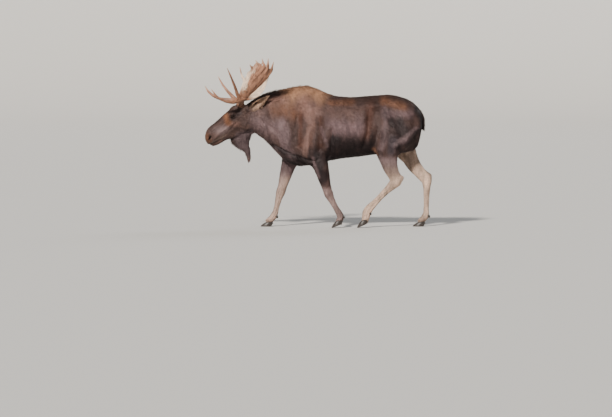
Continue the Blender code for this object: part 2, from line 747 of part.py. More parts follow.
def claw(name, inner):
    """Half of a cloven hoof: flat sole, arched wall, straight inner side (1 or -1), pointed toe."""
    angle = np.linspace(0, pi, 6)
    rings = []
    for t in np.linspace(0, 1, 6):
        width = CLAW_WIDTH * (0.62 + 0.38 * sin(pi * min(t * 0.9 + 0.18, 1))) * (1 - t**4) ** 0.5
        width = max(width, 0.008)
        height = CLAW_HEIGHT * (0.80 + 0.30 * t) * (1 - t**2.4) + 0.010
        lean = 0.020 * (1 - t)
        side = width * 0.5 * squared(np.cos(angle), 2.6)
        rise = height * squared(np.sin(angle), 2.4)
        back = -CLAW_LENGTH * t + lean * rise / CLAW_HEIGHT + 0.35 * rise * t
        rings.append(np.column_stack([back, side + inner * (0.003 + width * 0.5), rise]))
    return body(name, rings)


def foot_claws(foot):
    """Two claws and two dewclaws of one foot, set down on the floor."""
    _, side = LEGS[foot]
    toe_x, outward, raised = FEET[foot]
    pieces = {}
    for inner, word in ((-1, "outer" if side < 0 else "inner"), (1, "inner" if side < 0 else "outer")):
        piece = claw(foot + "_claw_" + word, inner)
        spread = Matrix.Rotation(radians(-inner * 5), 4, "Z")
        lift = Matrix.Rotation(radians(-raised), 4, "Y")
        place = Matrix.Translation((toe_x + CLAW_LENGTH * cos(radians(raised)), side * outward, 0))
        heel = CLAW_LENGTH * sin(radians(raised)) - (TOE_SINK if raised else 0)
        piece.data.transform(Matrix.Translation((0, 0, heel)) @ place @ lift @ spread)
        pieces[word] = piece
    return pieces


def dewclaws(foot):
    """Two small claws behind the fetlock."""
    stations, side = LEGS[foot]
    x, y, z, depth, width = stations[-4]
    pieces = {}
    for step, word in ((-1, "left"), (1, "right")):
        root = np.array((x + depth * 0.45, side * y + step * width * 0.42, z + 0.006))
        bend = root + (0.028, step * 0.006, -0.016)
        tip = root + (0.040, step * 0.008, -DEWCLAW_LENGTH)
        pieces[word] = horn(foot + "_dewclaw_" + word, [root, bend, tip], [0.012, 0.012, 0.005], 4, 6)
    return pieces


# ---------------------------------------------------------------- putting it together
pieces = {}  # every body by its name

for side_name in ("left", "right"):
    pieces["antler_" + side_name] = antler(side_name)
    pieces["ear_" + side_name] = ear(side_name)
    pieces["eye_" + side_name] = eye(side_name)
pieces["tail"] = tail()
pieces["bell"] = bell()
for foot in FEET:
    for word, piece in foot_claws(foot).items():
        pieces[foot + "_claw_" + word] = piece
    for word, piece in dewclaws(foot).items():
        pieces[foot + "_dewclaw_" + word] = piece

bpy.ops.mesh.primitive_cube_add(size=6, location=(0, 0, -3))
floor = bpy.context.object
for name, piece in pieces.items():
    if "_claw_" in name and FEET[name.split("_claw_")[0]][2]:
        cut_away(piece, floor)
bpy.data.objects.remove(floor)
for piece in pieces.values():
    seat(piece, flesh)

# Nostrils: a shallow pit on each side, slanting back and up
for side in (-1, 1):
    forward, left, up = NOSTRIL
    pit = egg("nostril", on_head(forward, side * left, up), NOSTRIL_RADII, HEAD_AXES, segments=12)
    cut_away(flesh, pit)
    bpy.data.objects.remove(pit)

# Where each leg is parted: the station at the top of its foot, cannon and upper leg, and their lengths
LEG_CUTS = {"fore": ((11, 0.30), (9, 0.26), (5, 0.44)), "hind": ((11, 0.34), (8, 0.40), (4, 0.46))}
LEG_WORDS = {"fore": ("foot", "cannon", "forearm"), "hind": ("foot", "cannon", "gaskin")}
for name, (stations, side) in LEGS.items():
    kind = name.split("_")[1]
    for (at, length), word in zip(LEG_CUTS[kind], LEG_WORDS[kind]):
        point = Vector(stations[at][:3])
        below = Vector(stations[at + 1][:3]) - Vector(stations[at - 1][:3])
        turn = Matrix.Rotation(-np.arctan2(below.x, -below.z), 4, "Y")
        centre = Vector((point.x, side * point.y, point.z)) + turn @ Vector((0, 0, -length / 2))
        full = name + "_" + word
        pieces[full] = part_off(flesh, full, centre, (0.36, 0.27, length), turn)

HEAD_CUT = -0.865  # X of the cut behind the jaw and the ears
NECK_CUT = (-0.51, 1.35, radians(13))  # X and Z of a point of the cut before the shoulder, and its slope
LOIN_CUT = 0.73
GIRTH_CUT = 0.16
FACE_CUT = 0.335  # how far forward of the occiput the muzzle begins
MOUTH_SLOPE = radians(24)
BLOCK = 2.0  # larger than anything it cuts

pieces["head"] = part_off(flesh, "head", (HEAD_CUT - BLOCK / 2, 0, 1.35), (BLOCK, BLOCK, BLOCK))
neck_turn = Matrix.Rotation(NECK_CUT[2], 4, "Y")
neck_centre = Vector((NECK_CUT[0], 0, NECK_CUT[1])) + neck_turn @ Vector((-BLOCK / 2, 0, 0))
pieces["neck"] = part_off(flesh, "neck", neck_centre, (BLOCK, BLOCK, BLOCK), neck_turn)
for word, at in (("hindquarters", LOIN_CUT), ("barrel", GIRTH_CUT)):
    pieces[word] = part_off(flesh, word, (at + BLOCK / 2, 0, 1.3), (BLOCK, BLOCK, BLOCK))
pieces["chest"] = flesh

face_turn = Matrix.Rotation(HEAD_TURN, 4, "Z") @ Matrix.Rotation(-HEAD_DROOP, 4, "Y")
mouth_turn = Matrix.Rotation(HEAD_TURN, 4, "Z") @ Matrix.Rotation(-MOUTH_SLOPE, 4, "Y")
jaw_centre = Vector(on_head(0.385, 0, -0.034)) + mouth_turn @ Vector((-0.2, 0, -0.2))
pieces["lower_jaw"] = part_off(pieces["head"], "lower_jaw", jaw_centre, (0.5, 0.5, 0.4), mouth_turn)
face_centre = on_head(FACE_CUT + 0.25, 0, 0.1)
pieces["muzzle"] = part_off(pieces["head"], "muzzle", face_centre, (0.5, 0.6, 0.6), face_turn)

# Antlers part at their forks: the middle of each cut and the way it faces, as forward, up and out
BROW_CUT = ((0.060, 0.060, 0.170), (1.0, -0.45, 0.20))
TINE_CUT = ((0.110, 0.085, 0.200), (-0.70, 1.00, 0.20))
PALM_CUT = ((0.000, 0.095, 0.190), (-0.25, 0.65, 0.60))


def part_antler(whole, name, cut, side):
    """Splits off what lies beyond a cut through an antler."""
    start, end = from_poll([cut[0], np.add(*cut)], side)
    turn = Vector(end - start).to_track_quat("X", "Z").to_matrix().to_4x4()
    return part_off(whole, name, Vector(start) + turn @ Vector((0.35, 0, 0)), (0.7, 1.2, 1.2), turn)


for side_name in ("left", "right"):
    side = ANTLERS[side_name]["side"]
    prefix = "antler_" + side_name
    beam = pieces.pop(prefix)
    brow = part_antler(beam, prefix + "_lower_tine", BROW_CUT, side)
    pieces[prefix + "_upper_tine"] = part_antler(brow, prefix + "_upper_tine", TINE_CUT, side)
    pieces[prefix + "_lower_tine"] = brow
    pieces[prefix + "_palm"] = part_antler(beam, prefix + "_palm", PALM_CUT, side)
    pieces[prefix + "_beam"] = beam

COLOURS = {
    "antler": (HORN, 0.45),
    "ear": (HIDE_BROWN, 0.85),
    "eye": (EYE_BROWN, 0.08),
    "claw": (CLAW_BLACK, 0.40),
    "cannon": (HIDE_PALE, 0.80),
    "foot": (HIDE_PALE, 0.80),
    "gaskin": (HIDE_PALE, 0.80),
    "bell": (HIDE_GREY, 0.85),
    "tail": (HIDE_DARK, 0.85),
    "barrel": (HIDE_GREY, 0.80),
    "": (HIDE_BROWN, 0.80),
}
for name, piece in pieces.items():
    colour, roughness = next(value for key, value in COLOURS.items() if key in name)
    finish(piece, name, colour, roughness)

# The origin is on the floor, under the middle of the whole moose.
corners = np.array([vertex.co for thing in finished for vertex in thing.data.vertices])
low, high = corners.min(axis=0), corners.max(axis=0)
shift = Matrix.Translation((-(low[0] + high[0]) / 2, -(low[1] + high[1]) / 2, -low[2]))
for thing in finished:
    thing.data.transform(shift)
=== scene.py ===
"""The looks of a life-size bull moose: skin, coat, eyes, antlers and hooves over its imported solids."""

import bpy
import numpy as np
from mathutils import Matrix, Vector


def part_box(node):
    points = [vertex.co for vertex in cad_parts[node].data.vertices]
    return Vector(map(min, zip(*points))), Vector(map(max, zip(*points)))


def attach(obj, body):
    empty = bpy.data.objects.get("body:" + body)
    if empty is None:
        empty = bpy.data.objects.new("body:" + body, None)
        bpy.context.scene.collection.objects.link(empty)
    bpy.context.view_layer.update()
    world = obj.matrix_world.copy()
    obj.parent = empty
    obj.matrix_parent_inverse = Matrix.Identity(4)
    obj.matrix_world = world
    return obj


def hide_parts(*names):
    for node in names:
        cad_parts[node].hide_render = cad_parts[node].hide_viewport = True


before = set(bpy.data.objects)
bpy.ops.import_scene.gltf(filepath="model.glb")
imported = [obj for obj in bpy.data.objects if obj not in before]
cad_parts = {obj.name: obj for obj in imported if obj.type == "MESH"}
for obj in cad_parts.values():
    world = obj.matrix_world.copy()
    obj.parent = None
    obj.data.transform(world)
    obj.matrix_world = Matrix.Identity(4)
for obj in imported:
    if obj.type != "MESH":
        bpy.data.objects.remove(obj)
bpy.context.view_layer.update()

# ---------------------------------------------------------------------------------------------------
# Skin: one hide over the whole animal, from the lips to the tail and down to the hooves. It is made
# from the solids of the flesh, fused and softened, then pushed in by the depth of the coat it carries
# and worked into folds, muscles, lips and nostrils.
# ---------------------------------------------------------------------------------------------------
HEAD_TURN, HEAD_DROOP = np.radians((9, 37))
HEAD_LEFT = np.array((np.sin(HEAD_TURN), -np.cos(HEAD_TURN), 0))
HEAD_LEVEL = np.array((-np.cos(HEAD_TURN), -np.sin(HEAD_TURN), 0))
HEAD_FORWARD = np.cos(HEAD_DROOP) * HEAD_LEVEL - np.sin(HEAD_DROOP) * np.array((0, 0, 1))
HEAD_UP = np.sin(HEAD_DROOP) * HEAD_LEVEL + np.cos(HEAD_DROOP) * np.array((0, 0, 1))
HEAD_AXES = np.array((HEAD_FORWARD, HEAD_LEFT, HEAD_UP))
EYE = np.array((0.15, 0.086, 0.118))  # forward, left and up of the occiput
EYE_RADIUS = 0.0205
LEVEL_AXES = np.array((HEAD_LEVEL, (0, 0, 1), HEAD_LEFT))  # forward, up and out, for ears and antlers

# The solids say where the head is: its left eye lies at EYE in the head's own axes.
OCCIPUT = np.mean(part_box("eye_left"), axis=0) - EYE @ HEAD_AXES
POLL = OCCIPUT + (-0.05, -0.002, 0.162)  # between the antlers
SIDES = {"left": 1, "right": -1}
EYE_CENTRES = {name: OCCIPUT + (EYE * (1, side, 1)) @ HEAD_AXES for name, side in SIDES.items()}


def unit(vectors):
    return vectors / np.maximum(np.linalg.norm(vectors, axis=-1, keepdims=True), 1e-9)


def step(low, high, value):
    """0 below `low`, 1 above `high`, and a smooth S between them."""
    t = np.clip((value - low) / (high - low), 0, 1)
    return t * t * (3 - 2 * t)


def once_round(count):
    """Angles at even steps of a whole turn."""
    return np.linspace(0, 2 * np.pi, count, endpoint=False)


def hill(distance):
    """A bell-shaped bump: 1 in the middle, next to nothing at twice the distance."""
    return np.exp(-(distance**2))


def smooth_rows(rows, count):
    """A Catmull-Rom curve through rows of numbers, read at `count` even steps."""
    p = np.asarray(rows, float)
    p = np.vstack([2 * p[0] - p[1], p, 2 * p[-1] - p[-2]])
    t = np.linspace(0, len(rows) - 1, count)
    i = np.minimum(t.astype(int), len(rows) - 2)
    f = (t - i)[:, None]
    a, b, c, d = p[i], p[i + 1], p[i + 2], p[i + 3]
    return 0.5 * (2 * b + (c - a) * f + (2 * a - 5 * b + 4 * c - d) * f**2 + (3 * b - a - 3 * c + d) * f**3)


def made(name, points, triangles):
    """An object of that name from corners and triangles, smooth all over."""
    mesh = bpy.data.meshes.new(name)
    mesh.vertices.add(len(points))
    mesh.vertices.foreach_set("co", np.asarray(points, np.float32).ravel())
    mesh.loops.add(triangles.size)
    mesh.loops.foreach_set("vertex_index", triangles.astype(np.int32).ravel())
    mesh.polygons.add(len(triangles))
    mesh.polygons.foreach_set("loop_start", np.arange(0, triangles.size, 3, dtype=np.int32))
    mesh.polygons.foreach_set("use_smooth", np.ones(len(triangles), bool))
    mesh.update(calc_edges=True)
    piece = bpy.data.objects.new(name, mesh)
    bpy.context.scene.collection.objects.link(piece)
    return piece


def taken(mesh):
    """Corners and triangles of a mesh, as arrays."""
    mesh.calc_loop_triangles()
    points = np.empty(len(mesh.vertices) * 3, np.float32)
    mesh.vertices.foreach_get("co", points)
    triangles = np.empty(len(mesh.loop_triangles) * 3, np.int32)
    mesh.loop_triangles.foreach_get("vertices", triangles)
    return points.reshape(-1, 3).astype(float), triangles.reshape(-1, 3)


def joined(parts):
    """Several pairs of corners and triangles as one pair."""
    starts = np.cumsum([0] + [len(points) for points, _ in parts])
    return (
        np.vstack([points for points, _ in parts]),
        np.vstack([triangles + start for (_, triangles), start in zip(parts, starts)]),
    )


def facing(points, triangles):
    """Outward normals at the corners, each the area-weighted mean of its triangles'."""
    a, b, c = points[triangles.T]
    faces = np.repeat(np.cross(b - a, c - a), 3, axis=0)
    return unit(np.stack([np.bincount(triangles.ravel(), along, len(points)) for along in faces.T], axis=1))


def woven(rows, count, bands):
    """Triangles for the bands between rows of points, where each row is a closed ring."""
    i, j = (grid.ravel() for grid in np.meshgrid(np.arange(bands), np.arange(count), indexing="ij"))
    a, b = i * count + j, i * count + (j + 1) % count
    c, d = (a + count) % (rows * count), (b + count) % (rows * count)
    return np.vstack([np.stack([a, b, d], 1), np.stack([a, d, c], 1)])


def fanned(middle, ring):
    """Triangles from one corner to a closed ring of others."""
    return np.stack([np.full(len(ring), middle), np.roll(ring, -1), ring], 1)


def turned_out(points, triangles):
    """A closed surface with its triangles facing outwards."""
    a, b, c = points[triangles.T]
    volume = np.einsum("ij,ij->", a, np.cross(b, c))
    return points, triangles if volume > 0 else triangles[:, ::-1]


def shell(rings):
    """A closed tube: rings of points joined row to row, with each end a fan to its middle."""
    rows, count, _ = rings.shape
    points = np.vstack([rings.reshape(-1, 3), rings[0].mean(0), rings[-1].mean(0)])
    ring, last = np.arange(count), (rows - 1) * count
    ends = fanned(rows * count, ring), fanned(rows * count + 1, last + ring)[:, (0, 2, 1)]
    return turned_out(points, np.vstack([woven(rows, count, rows - 1), *ends]))


def ball(rows, count, gap):
    """A ball of radius 1: circles of latitude from `gap` short of one pole to `gap` short of the other."""
    polar, turn = np.linspace(gap, np.pi - gap, rows)[:, None], once_round(count)
    level = np.cos(polar) + 0 * turn
    return np.stack([np.sin(polar) * np.cos(turn), np.sin(polar) * np.sin(turn), level], -1)


def egg(centre, radii, axes):
    """An ellipsoid with its radii along the rows of `axes`."""
    return shell(centre + (ball(16, 24, 0.02) * radii) @ axes)


def altered(piece, kind, **settings):
    """Applies one modifier and keeps its result as the piece's mesh."""
    change = piece.modifiers.new(kind.lower(), kind)
    for key, value in settings.items():
        setattr(change, key, value)
    result = bpy.data.meshes.new_from_object(piece.evaluated_get(bpy.context.evaluated_depsgraph_get()))
    piece.modifiers.clear()
    piece.data = result


def relaxed(points, triangles, rounds, strength):
    """Each round moves every corner `strength` of the way to the middle of its neighbours."""
    ends = np.concatenate([triangles[:, (0, 1)], triangles[:, (1, 2)], triangles[:, (2, 0)]])
    count = np.maximum(np.bincount(ends[:, 0], minlength=len(points)), 1)
    for _ in range(rounds):
        middle = [np.bincount(ends[:, 0], points[ends[:, 1], axis], len(points)) / count for axis in range(3)]
        points = points + strength[:, None] * (np.stack(middle, 1) - points)
    return points


def fused(parts, voxel):
    """Overlapping closed shells as one skin, from a grid of voxels of that size."""
    piece = made("fused", *joined(parts))
    altered(piece, "REMESH", mode="VOXEL", voxel_size=voxel)
    result = taken(piece.data)
    bpy.data.objects.remove(piece)
    return result


def mottle(points, size, seed):
    """Value noise from 0 to 1: a random number at each whole step of `size`, blended between steps."""
    at = points / size
    whole = np.floor(at).astype(np.int64)
    part = at - whole
    part = part * part * (3 - 2 * part)
    total = 0
    for corner in np.ndindex(2, 2, 2):
        key = (whole + corner) @ np.array((73856093, 19349663, 83492791)) + seed * 40503
        key = ((key ^ (key >> 13)) * 1274126177) & 0x7FFFFFFF
        value = ((key ^ (key >> 15)) & 0xFFFF) / 0xFFFF
        total = total + value * np.prod(np.where(corner, part, 1 - part), axis=1)
    return total


# Guides run through the body the way its hair lies. Columns: x, y, z, girth, length of the hair,
# depth of the coat, width of a strand, how much the hair droops, how many layers of hair overlap.
HEAD_ROWS = [  # forward and up instead of x, y and z
    (0.6, 0.06, 0.05, 0.006, 0.001, 0.0014, 0.0, 1.3),
    (0.52, 0.085, 0.085, 0.008, 0.0014, 0.0015, 0.0, 1.8),
    (0.4, 0.085, 0.09, 0.011, 0.0022, 0.0018, 0.1, 2.3),
    (0.26, 0.075, 0.11, 0.014, 0.003, 0.002, 0.2, 2.5),
    (0.12, 0.05, 0.15, 0.018, 0.004, 0.0022, 0.3, 2.7),
    (0.0, 0.02, 0.16, 0.028, 0.007, 0.0028, 0.5, 3.0),
]
TRUNK_ROWS = [
    (-0.78, -0.028, 1.36, 0.21, 0.044, 0.011, 0.003, 0.7, 3.4),
    (-0.6, -0.012, 1.32, 0.3, 0.052, 0.014, 0.0031, 0.9, 3.6),
    (-0.35, 0.0, 1.27, 0.4, 0.056, 0.015, 0.0032, 1.0, 3.6),
    (-0.1, 0.0, 1.24, 0.44, 0.054, 0.013, 0.0032, 1.1, 3.6),
    (0.2, 0.0, 1.24, 0.4, 0.05, 0.011, 0.003, 1.0, 3.5),
    (0.55, 0.0, 1.25, 0.38, 0.047, 0.0105, 0.0029, 0.9, 3.5),
    (0.85, 0.0, 1.27, 0.37, 0.046, 0.0105, 0.0029, 1.0, 3.5),
    (1.1, 0.0, 1.27, 0.33, 0.045, 0.0105, 0.0029, 1.4, 3.5),
    (1.25, 0.0, 1.28, 0.2, 0.042, 0.0095, 0.0029, 2.2, 3.5),
]
LEG_ROWS = [  # y outwards, then the columns from girth on
    (0.162, 0.14, 0.036, 0.009, 0.003, 0.3, 3.2),
    (0.165, 0.112, 0.03, 0.007, 0.0028, 0.0, 2.9),
    (0.168, 0.09, 0.024, 0.0055, 0.0027, 0.0, 2.6),
    (0.163, 0.074, 0.019, 0.004, 0.0025, 0.0, 2.2),
    (0.157, 0.062, 0.014, 0.003, 0.0023, 0.0, 2.0),
    (0.154, 0.045, 0.012, 0.0024, 0.0022, 0.0, 1.9),
    (0.149, 0.04, 0.012, 0.0024, 0.0022, 0.0, 1.9),
    (0.147, 0.047, 0.015, 0.0028, 0.0022, 0.0, 2.2),
    (0.145, 0.046, 0.019, 0.0032, 0.0023, 0.0, 2.5),
    (0.144, 0.048, 0.024, 0.003, 0.0022, 0.0, 3.0),
]
LEG_LINES = {  # x and z of the same places on each leg, from its top down to the hoof
    "left_fore": [
        (-0.12, 0.97), (-0.01, 0.84), (0.034, 0.74), (0.066, 0.62), (0.11, 0.465),
        (0.153, 0.36), (0.207, 0.26), (0.262, 0.165), (0.262, 0.1), (0.246, 0.045),
    ],
    "right_fore": [
        (-0.36, 0.98), (-0.345, 0.86), (-0.372, 0.76), (-0.41, 0.63), (-0.457, 0.465),
        (-0.49, 0.36), (-0.516, 0.25), (-0.543, 0.15), (-0.58, 0.098), (-0.63, 0.045),
    ],
    "left_hind": [
        (0.855, 0.94), (0.865, 0.84), (0.89, 0.74), (0.935, 0.645), (0.95, 0.55),
        (0.801, 0.42), (0.697, 0.31), (0.61, 0.21), (0.586, 0.14), (0.566, 0.05),
    ],
    "right_hind": [
        (1.08, 0.95), (1.135, 0.86), (1.19, 0.76), (1.275, 0.66), (1.345, 0.56),
        (1.347, 0.4), (1.345, 0.26), (1.341, 0.165), (1.312, 0.1), (1.266, 0.045),
    ],
}
BELL_ROWS = [
    (-0.925, -0.045, 1.21, 0.11, 0.048, 0.0085, 0.0034, 0.0, 3.6),
    (-0.95, -0.045, 1.12, 0.12, 0.052, 0.009, 0.0034, 0.0, 3.6),
    (-0.95, -0.045, 1.03, 0.095, 0.054, 0.0085, 0.0034, 0.0, 3.6),
    (-0.895, -0.045, 0.955, 0.045, 0.05, 0.008, 0.0032, 0.0, 3.8),
    (-0.866, -0.045, 0.845, 0.025, 0.042, 0.0075, 0.003, 0.0, 4.2),
]
TAIL_ROWS = [
    (1.245, 0.0, 1.44, 0.035, 0.036, 0.007, 0.003, 0.0, 4.0),
    (1.298, 0.0, 1.33, 0.034, 0.04, 0.007, 0.003, 0.0, 4.4),
    (1.303, 0.0, 1.205, 0.02, 0.04, 0.006, 0.0028, 0.0, 5.0),
]
# forward, up and out of the poll
EAR_ROOT, EAR_TIP = np.array(((-0.055, -0.1, 0.08), (-0.29, 0.1, 0.222)))
EAR_MOUTH = (0.2, -0.35, 1.0)  # the way that the ear opens
EAR_COAT = (0.018, 0.0026, 0.0024, 0.0, 2.8)


def heading(directions, side):
    """Directions given forward, up and out of the head, for one side of it."""
    return (np.asarray(directions, float) * (1, 1, side)) @ LEVEL_AXES


def from_poll(points, side):
    return POLL + heading(points, side)


head_guide = [
    np.concatenate([OCCIPUT + forward * HEAD_FORWARD + up * HEAD_UP, rest])
    for forward, up, *rest in HEAD_ROWS
]
guides = {"spine": np.vstack([head_guide, TRUNK_ROWS])}
for name, line in LEG_LINES.items():
    x, z = np.transpose(line)
    aside, *rest = np.transpose(LEG_ROWS)
    guides[name] = np.column_stack([x, -aside if "left" in name else aside, z, *rest])
guides["bell"] = np.array(BELL_ROWS)
guides["tail"] = np.array(TAIL_ROWS)
for name, side in SIDES.items():
    ends = from_poll([EAR_ROOT, 0.5 * (EAR_ROOT + EAR_TIP), EAR_TIP], side)
    guides["ear_" + name] = np.column_stack([ends, (0.045, 0.055, 0.03), np.tile(EAR_COAT, (3, 1))])


def along_guide(points, guide):
    """The nearest place on a guide: how many girths away, its row, its course, and how far along it is."""
    count, length = len(points), 0.0
    away, place = np.full(count, np.inf), np.zeros(count)
    row, course = np.zeros((count, guide.shape[1])), np.zeros((count, 3))
    for start, end in zip(guide[:-1], guide[1:]):
        run = end[:3] - start[:3]
        size = np.linalg.norm(run)
        t = np.clip((points - start[:3]) @ run / size**2, 0, 1)
        here = start + t[:, None] * (end - start)
        far = np.linalg.norm(points - here[:, :3], axis=1) / here[:, 3]
        near = far < away
        away[near], row[near], course[near] = far[near], here[near], run / size
        place[near] = length + t[near] * size
        length += size
    return away, row, course, place


def read_guides(points):
    """The hair's length, depth, width, droop and layers, its lie, and the guide that it follows."""
    total, values, lie = 1e-12, 0, 0
    best = np.full(len(points), np.inf)
    which, place, foot = np.zeros(len(points), int), np.zeros(len(points)), np.zeros((len(points), 3))
    for number, guide in enumerate(guides.values()):
        away, row, course, run = along_guide(points, guide)
        pull = (1 / (away**8 + 1e-4))[:, None]
        total = total + pull
        values = values + pull * row[:, 4:]
        lie = lie + pull * course
        near = away < best
        best[near], which[near], place[near], foot[near] = away[near], number, run[near], row[near, :3]
    values, lie = values / total, lie / total
    lie = lie + values[:, 3:4] * np.array((0, 0, -1))
    return values, unit(lie), which, place, foot


# Muscles, bones and folds of the body, on both sides: a line in x and z, its height, its half width
FORMS = [
    ([(-0.146, 1.6), (-0.105, 1.3), (-0.159, 1.03), (-0.132, 0.9)], 0.013, 0.05),  # shoulder blade and arm
    ([(-0.26, 1.46), (-0.26, 1.05)], -0.012, 0.036),  # before the upper arm
    ([(0.0, 1.4), (0.0, 0.98)], -0.011, 0.034),  # behind it
    ([(0.15, 1.22), (0.14, 0.86)], -0.018, 0.036),  # behind the elbow
    ([(0.03, 1.24), (0.09, 0.98)], 0.007, 0.022),  # the muscle between
    ([(-0.47, 1.34), (-0.43, 1.05), (-0.33, 0.9)], 0.013, 0.055),  # point of the shoulder
    ([(-0.62, 1.52), (-0.58, 1.25), (-0.57, 1.1)], -0.01, 0.045),  # between neck and shoulder
    ([(-0.58, 1.03), (-0.4, 0.95), (-0.27, 0.89), (-0.07, 0.83)], -0.02, 0.019),  # above the brisket
    ([(-0.02, 0.86), (-0.1, 0.76), (-0.03, 0.66)], -0.004, 0.014),  # muscle of the forearm
    ([(0.612, 1.46), (0.594, 1.21), (0.553, 1.02)], -0.015, 0.04),  # hollow of the flank
    ([(0.79, 1.54), (0.8, 1.3), (0.79, 1.13), (0.755, 0.9)], 0.013, 0.042),  # from hip to knee
    ([(0.93, 1.44), (0.98, 1.24), (1.0, 1.14)], -0.013, 0.055),  # hollow of the thigh
    ([(0.943, 1.025), (1.064, 1.119), (1.198, 1.24)], 0.012, 0.032),  # hamstring
    ([(0.97, 0.99), (1.03, 0.9)], -0.01, 0.026),  # behind the knee
    ([(0.66, 0.98), (0.72, 0.93)], 0.007, 0.022),  # fold from flank to knee
    ([(-0.8, 1.4), (-0.66, 1.3), (-0.5, 1.18)], -0.007, 0.024),  # groove of the throat
    ([(-0.79, 1.52), (-0.6, 1.56), (-0.42, 1.6)], 0.006, 0.05),  # crest of the neck
    ([(0.3, 1.52), (0.55, 1.51), (0.8, 1.52)], -0.007, 0.03),  # beside the backbone
]


def line_distance(x, z, line):
    """Distance in the plane of x and z from points to a broken line."""
    nearest = np.full(len(x), np.inf)
    for (ax, az), (bx, bz) in zip(line[:-1], line[1:]):
        reach = (x - ax) * (bx - ax) + (z - az) * (bz - az)
        t = np.clip(reach / ((bx - ax) ** 2 + (bz - az) ** 2), 0, 1)
        nearest = np.minimum(nearest, np.hypot(x - ax - t * (bx - ax), z - az - t * (bz - az)))
    return nearest


def form_height(forms, x, z):
    """The height of all the forms together, each a rounded ridge or groove along its line."""
    return sum(height * hill(line_distance(x, z, line) / width) for line, height, width in forms)


def body_forms(points, normals):
    """Height of the muscles, bones, ribs, neck folds and sinews over the plain body."""
    x, y, z = points.T
    sideways = step(0.25, 0.75, np.abs(normals[:, 1])) * step(-0.8, -0.7, x)
    rise = 1.2 * form_height(FORMS, x, z)
    ribs = 0.0011 * np.sin((x + 0.35 * (z - 1.2)) * 95) * step(0.16, 0.28, x) * step(0.6, 0.48, x)
    rise += ribs * step(0.92, 1.02, z) * step(1.46, 1.32, z)
    folds = 0.0036 * np.sin((x + 0.25 * z) * 80 + 2 * np.sin(9 * z))
    folds = folds * step(-0.84, -0.8, x) * step(-0.5, -0.66, x)
    rise = (rise + folds * step(1.5, 1.35, z)) * sideways
    # between the buttocks and between the two muscles of the breast
    behind = step(0.35, 0.85, normals[:, 0]) * step(0.85, 0.95, x) * step(0.88, 1, z) * step(1.36, 1.22, z)
    rise += behind * (0.012 * hill((np.abs(y) - 0.11) / 0.06) - 0.022 * hill(y / 0.028))
    ahead = step(0.3, 0.8, -normals[:, 0]) * step(-0.45, -0.55, x) * step(-0.82, -0.76, x)
    breast = 0.01 * hill((np.abs(y) - 0.09) / 0.05) - 0.014 * hill(y / 0.028)
    rise += ahead * hill((z - 1.02) / 0.16) * breast
    # the groove before the sinews at the back of each leg
    flat = step(0.5, 0.9, np.abs(normals[:, 1])) * step(0.5, 0.42, z) * step(0.11, 0.15, z)
    for name, guide in guides.items():
        if name.endswith(("fore", "hind")):
            own = (y > 0) == name.startswith("right")
            rise -= 0.0042 * own * flat * hill(line_distance(x - 0.01, z, guide[:, (0, 2)]) / 0.006)
    return rise


LIP_FRONT, LIP_BACK = (0.573, 0.011), (0.363, -0.037)  # forward and up of the mouth line's ends
NOSTRIL = (0.528, 0.08)


def mouth_height(forward):
    """How high above the head's axis the mouth line runs."""
    slope = (LIP_FRONT[1] - LIP_BACK[1]) / (LIP_FRONT[0] - LIP_BACK[0])
    return LIP_BACK[1] + slope * (forward - LIP_BACK[0]) - 0.004 * np.sin((forward - 0.36) * 26)


FACE_FORMS = [  # the same on the head, forward and up
    ([(0.172, 0.108), (0.205, 0.09)], -0.004, 0.006),  # tear pit
    ([(0.19, 0.062), (0.3, 0.052), (0.4, 0.06)], 0.0065, 0.017),  # cheekbone
    ([(0.12, 0.072), (0.02, 0.066), (-0.05, 0.075)], 0.005, 0.012),  # its arch behind the eye
    ([(0.21, 0.02), (0.3, 0.004), (0.36, -0.01)], -0.006, 0.014),  # hollow of the cheek
    ([(0.17, 0.03), (0.165, -0.05), (0.12, -0.12)], -0.007, 0.013),  # front edge of the jaw muscle
    ([(-0.02, 0.04), (-0.03, -0.05), (0.01, -0.12)], -0.0065, 0.016),  # behind the jaw
    ([(0.24, 0.125), (0.36, 0.115), (0.46, 0.125)], -0.005, 0.016),  # beside the bone of the nose
    ([(0.45, 0.04), (0.52, 0.036)], 0.0055, 0.022),  # fullness of the upper lip
]


def nostril_distance(forward, up):
    """1 on the rim of the nostril, a comma that trails back and up."""
    along = (forward - NOSTRIL[0]) * 0.86 + (up - NOSTRIL[1]) * -0.5
    across = (forward - NOSTRIL[0]) * 0.5 + (up - NOSTRIL[1]) * 0.86
    across = across - 0.01 * (along / 0.03) ** 2
    return np.hypot(along / 0.027, across / 0.0105)


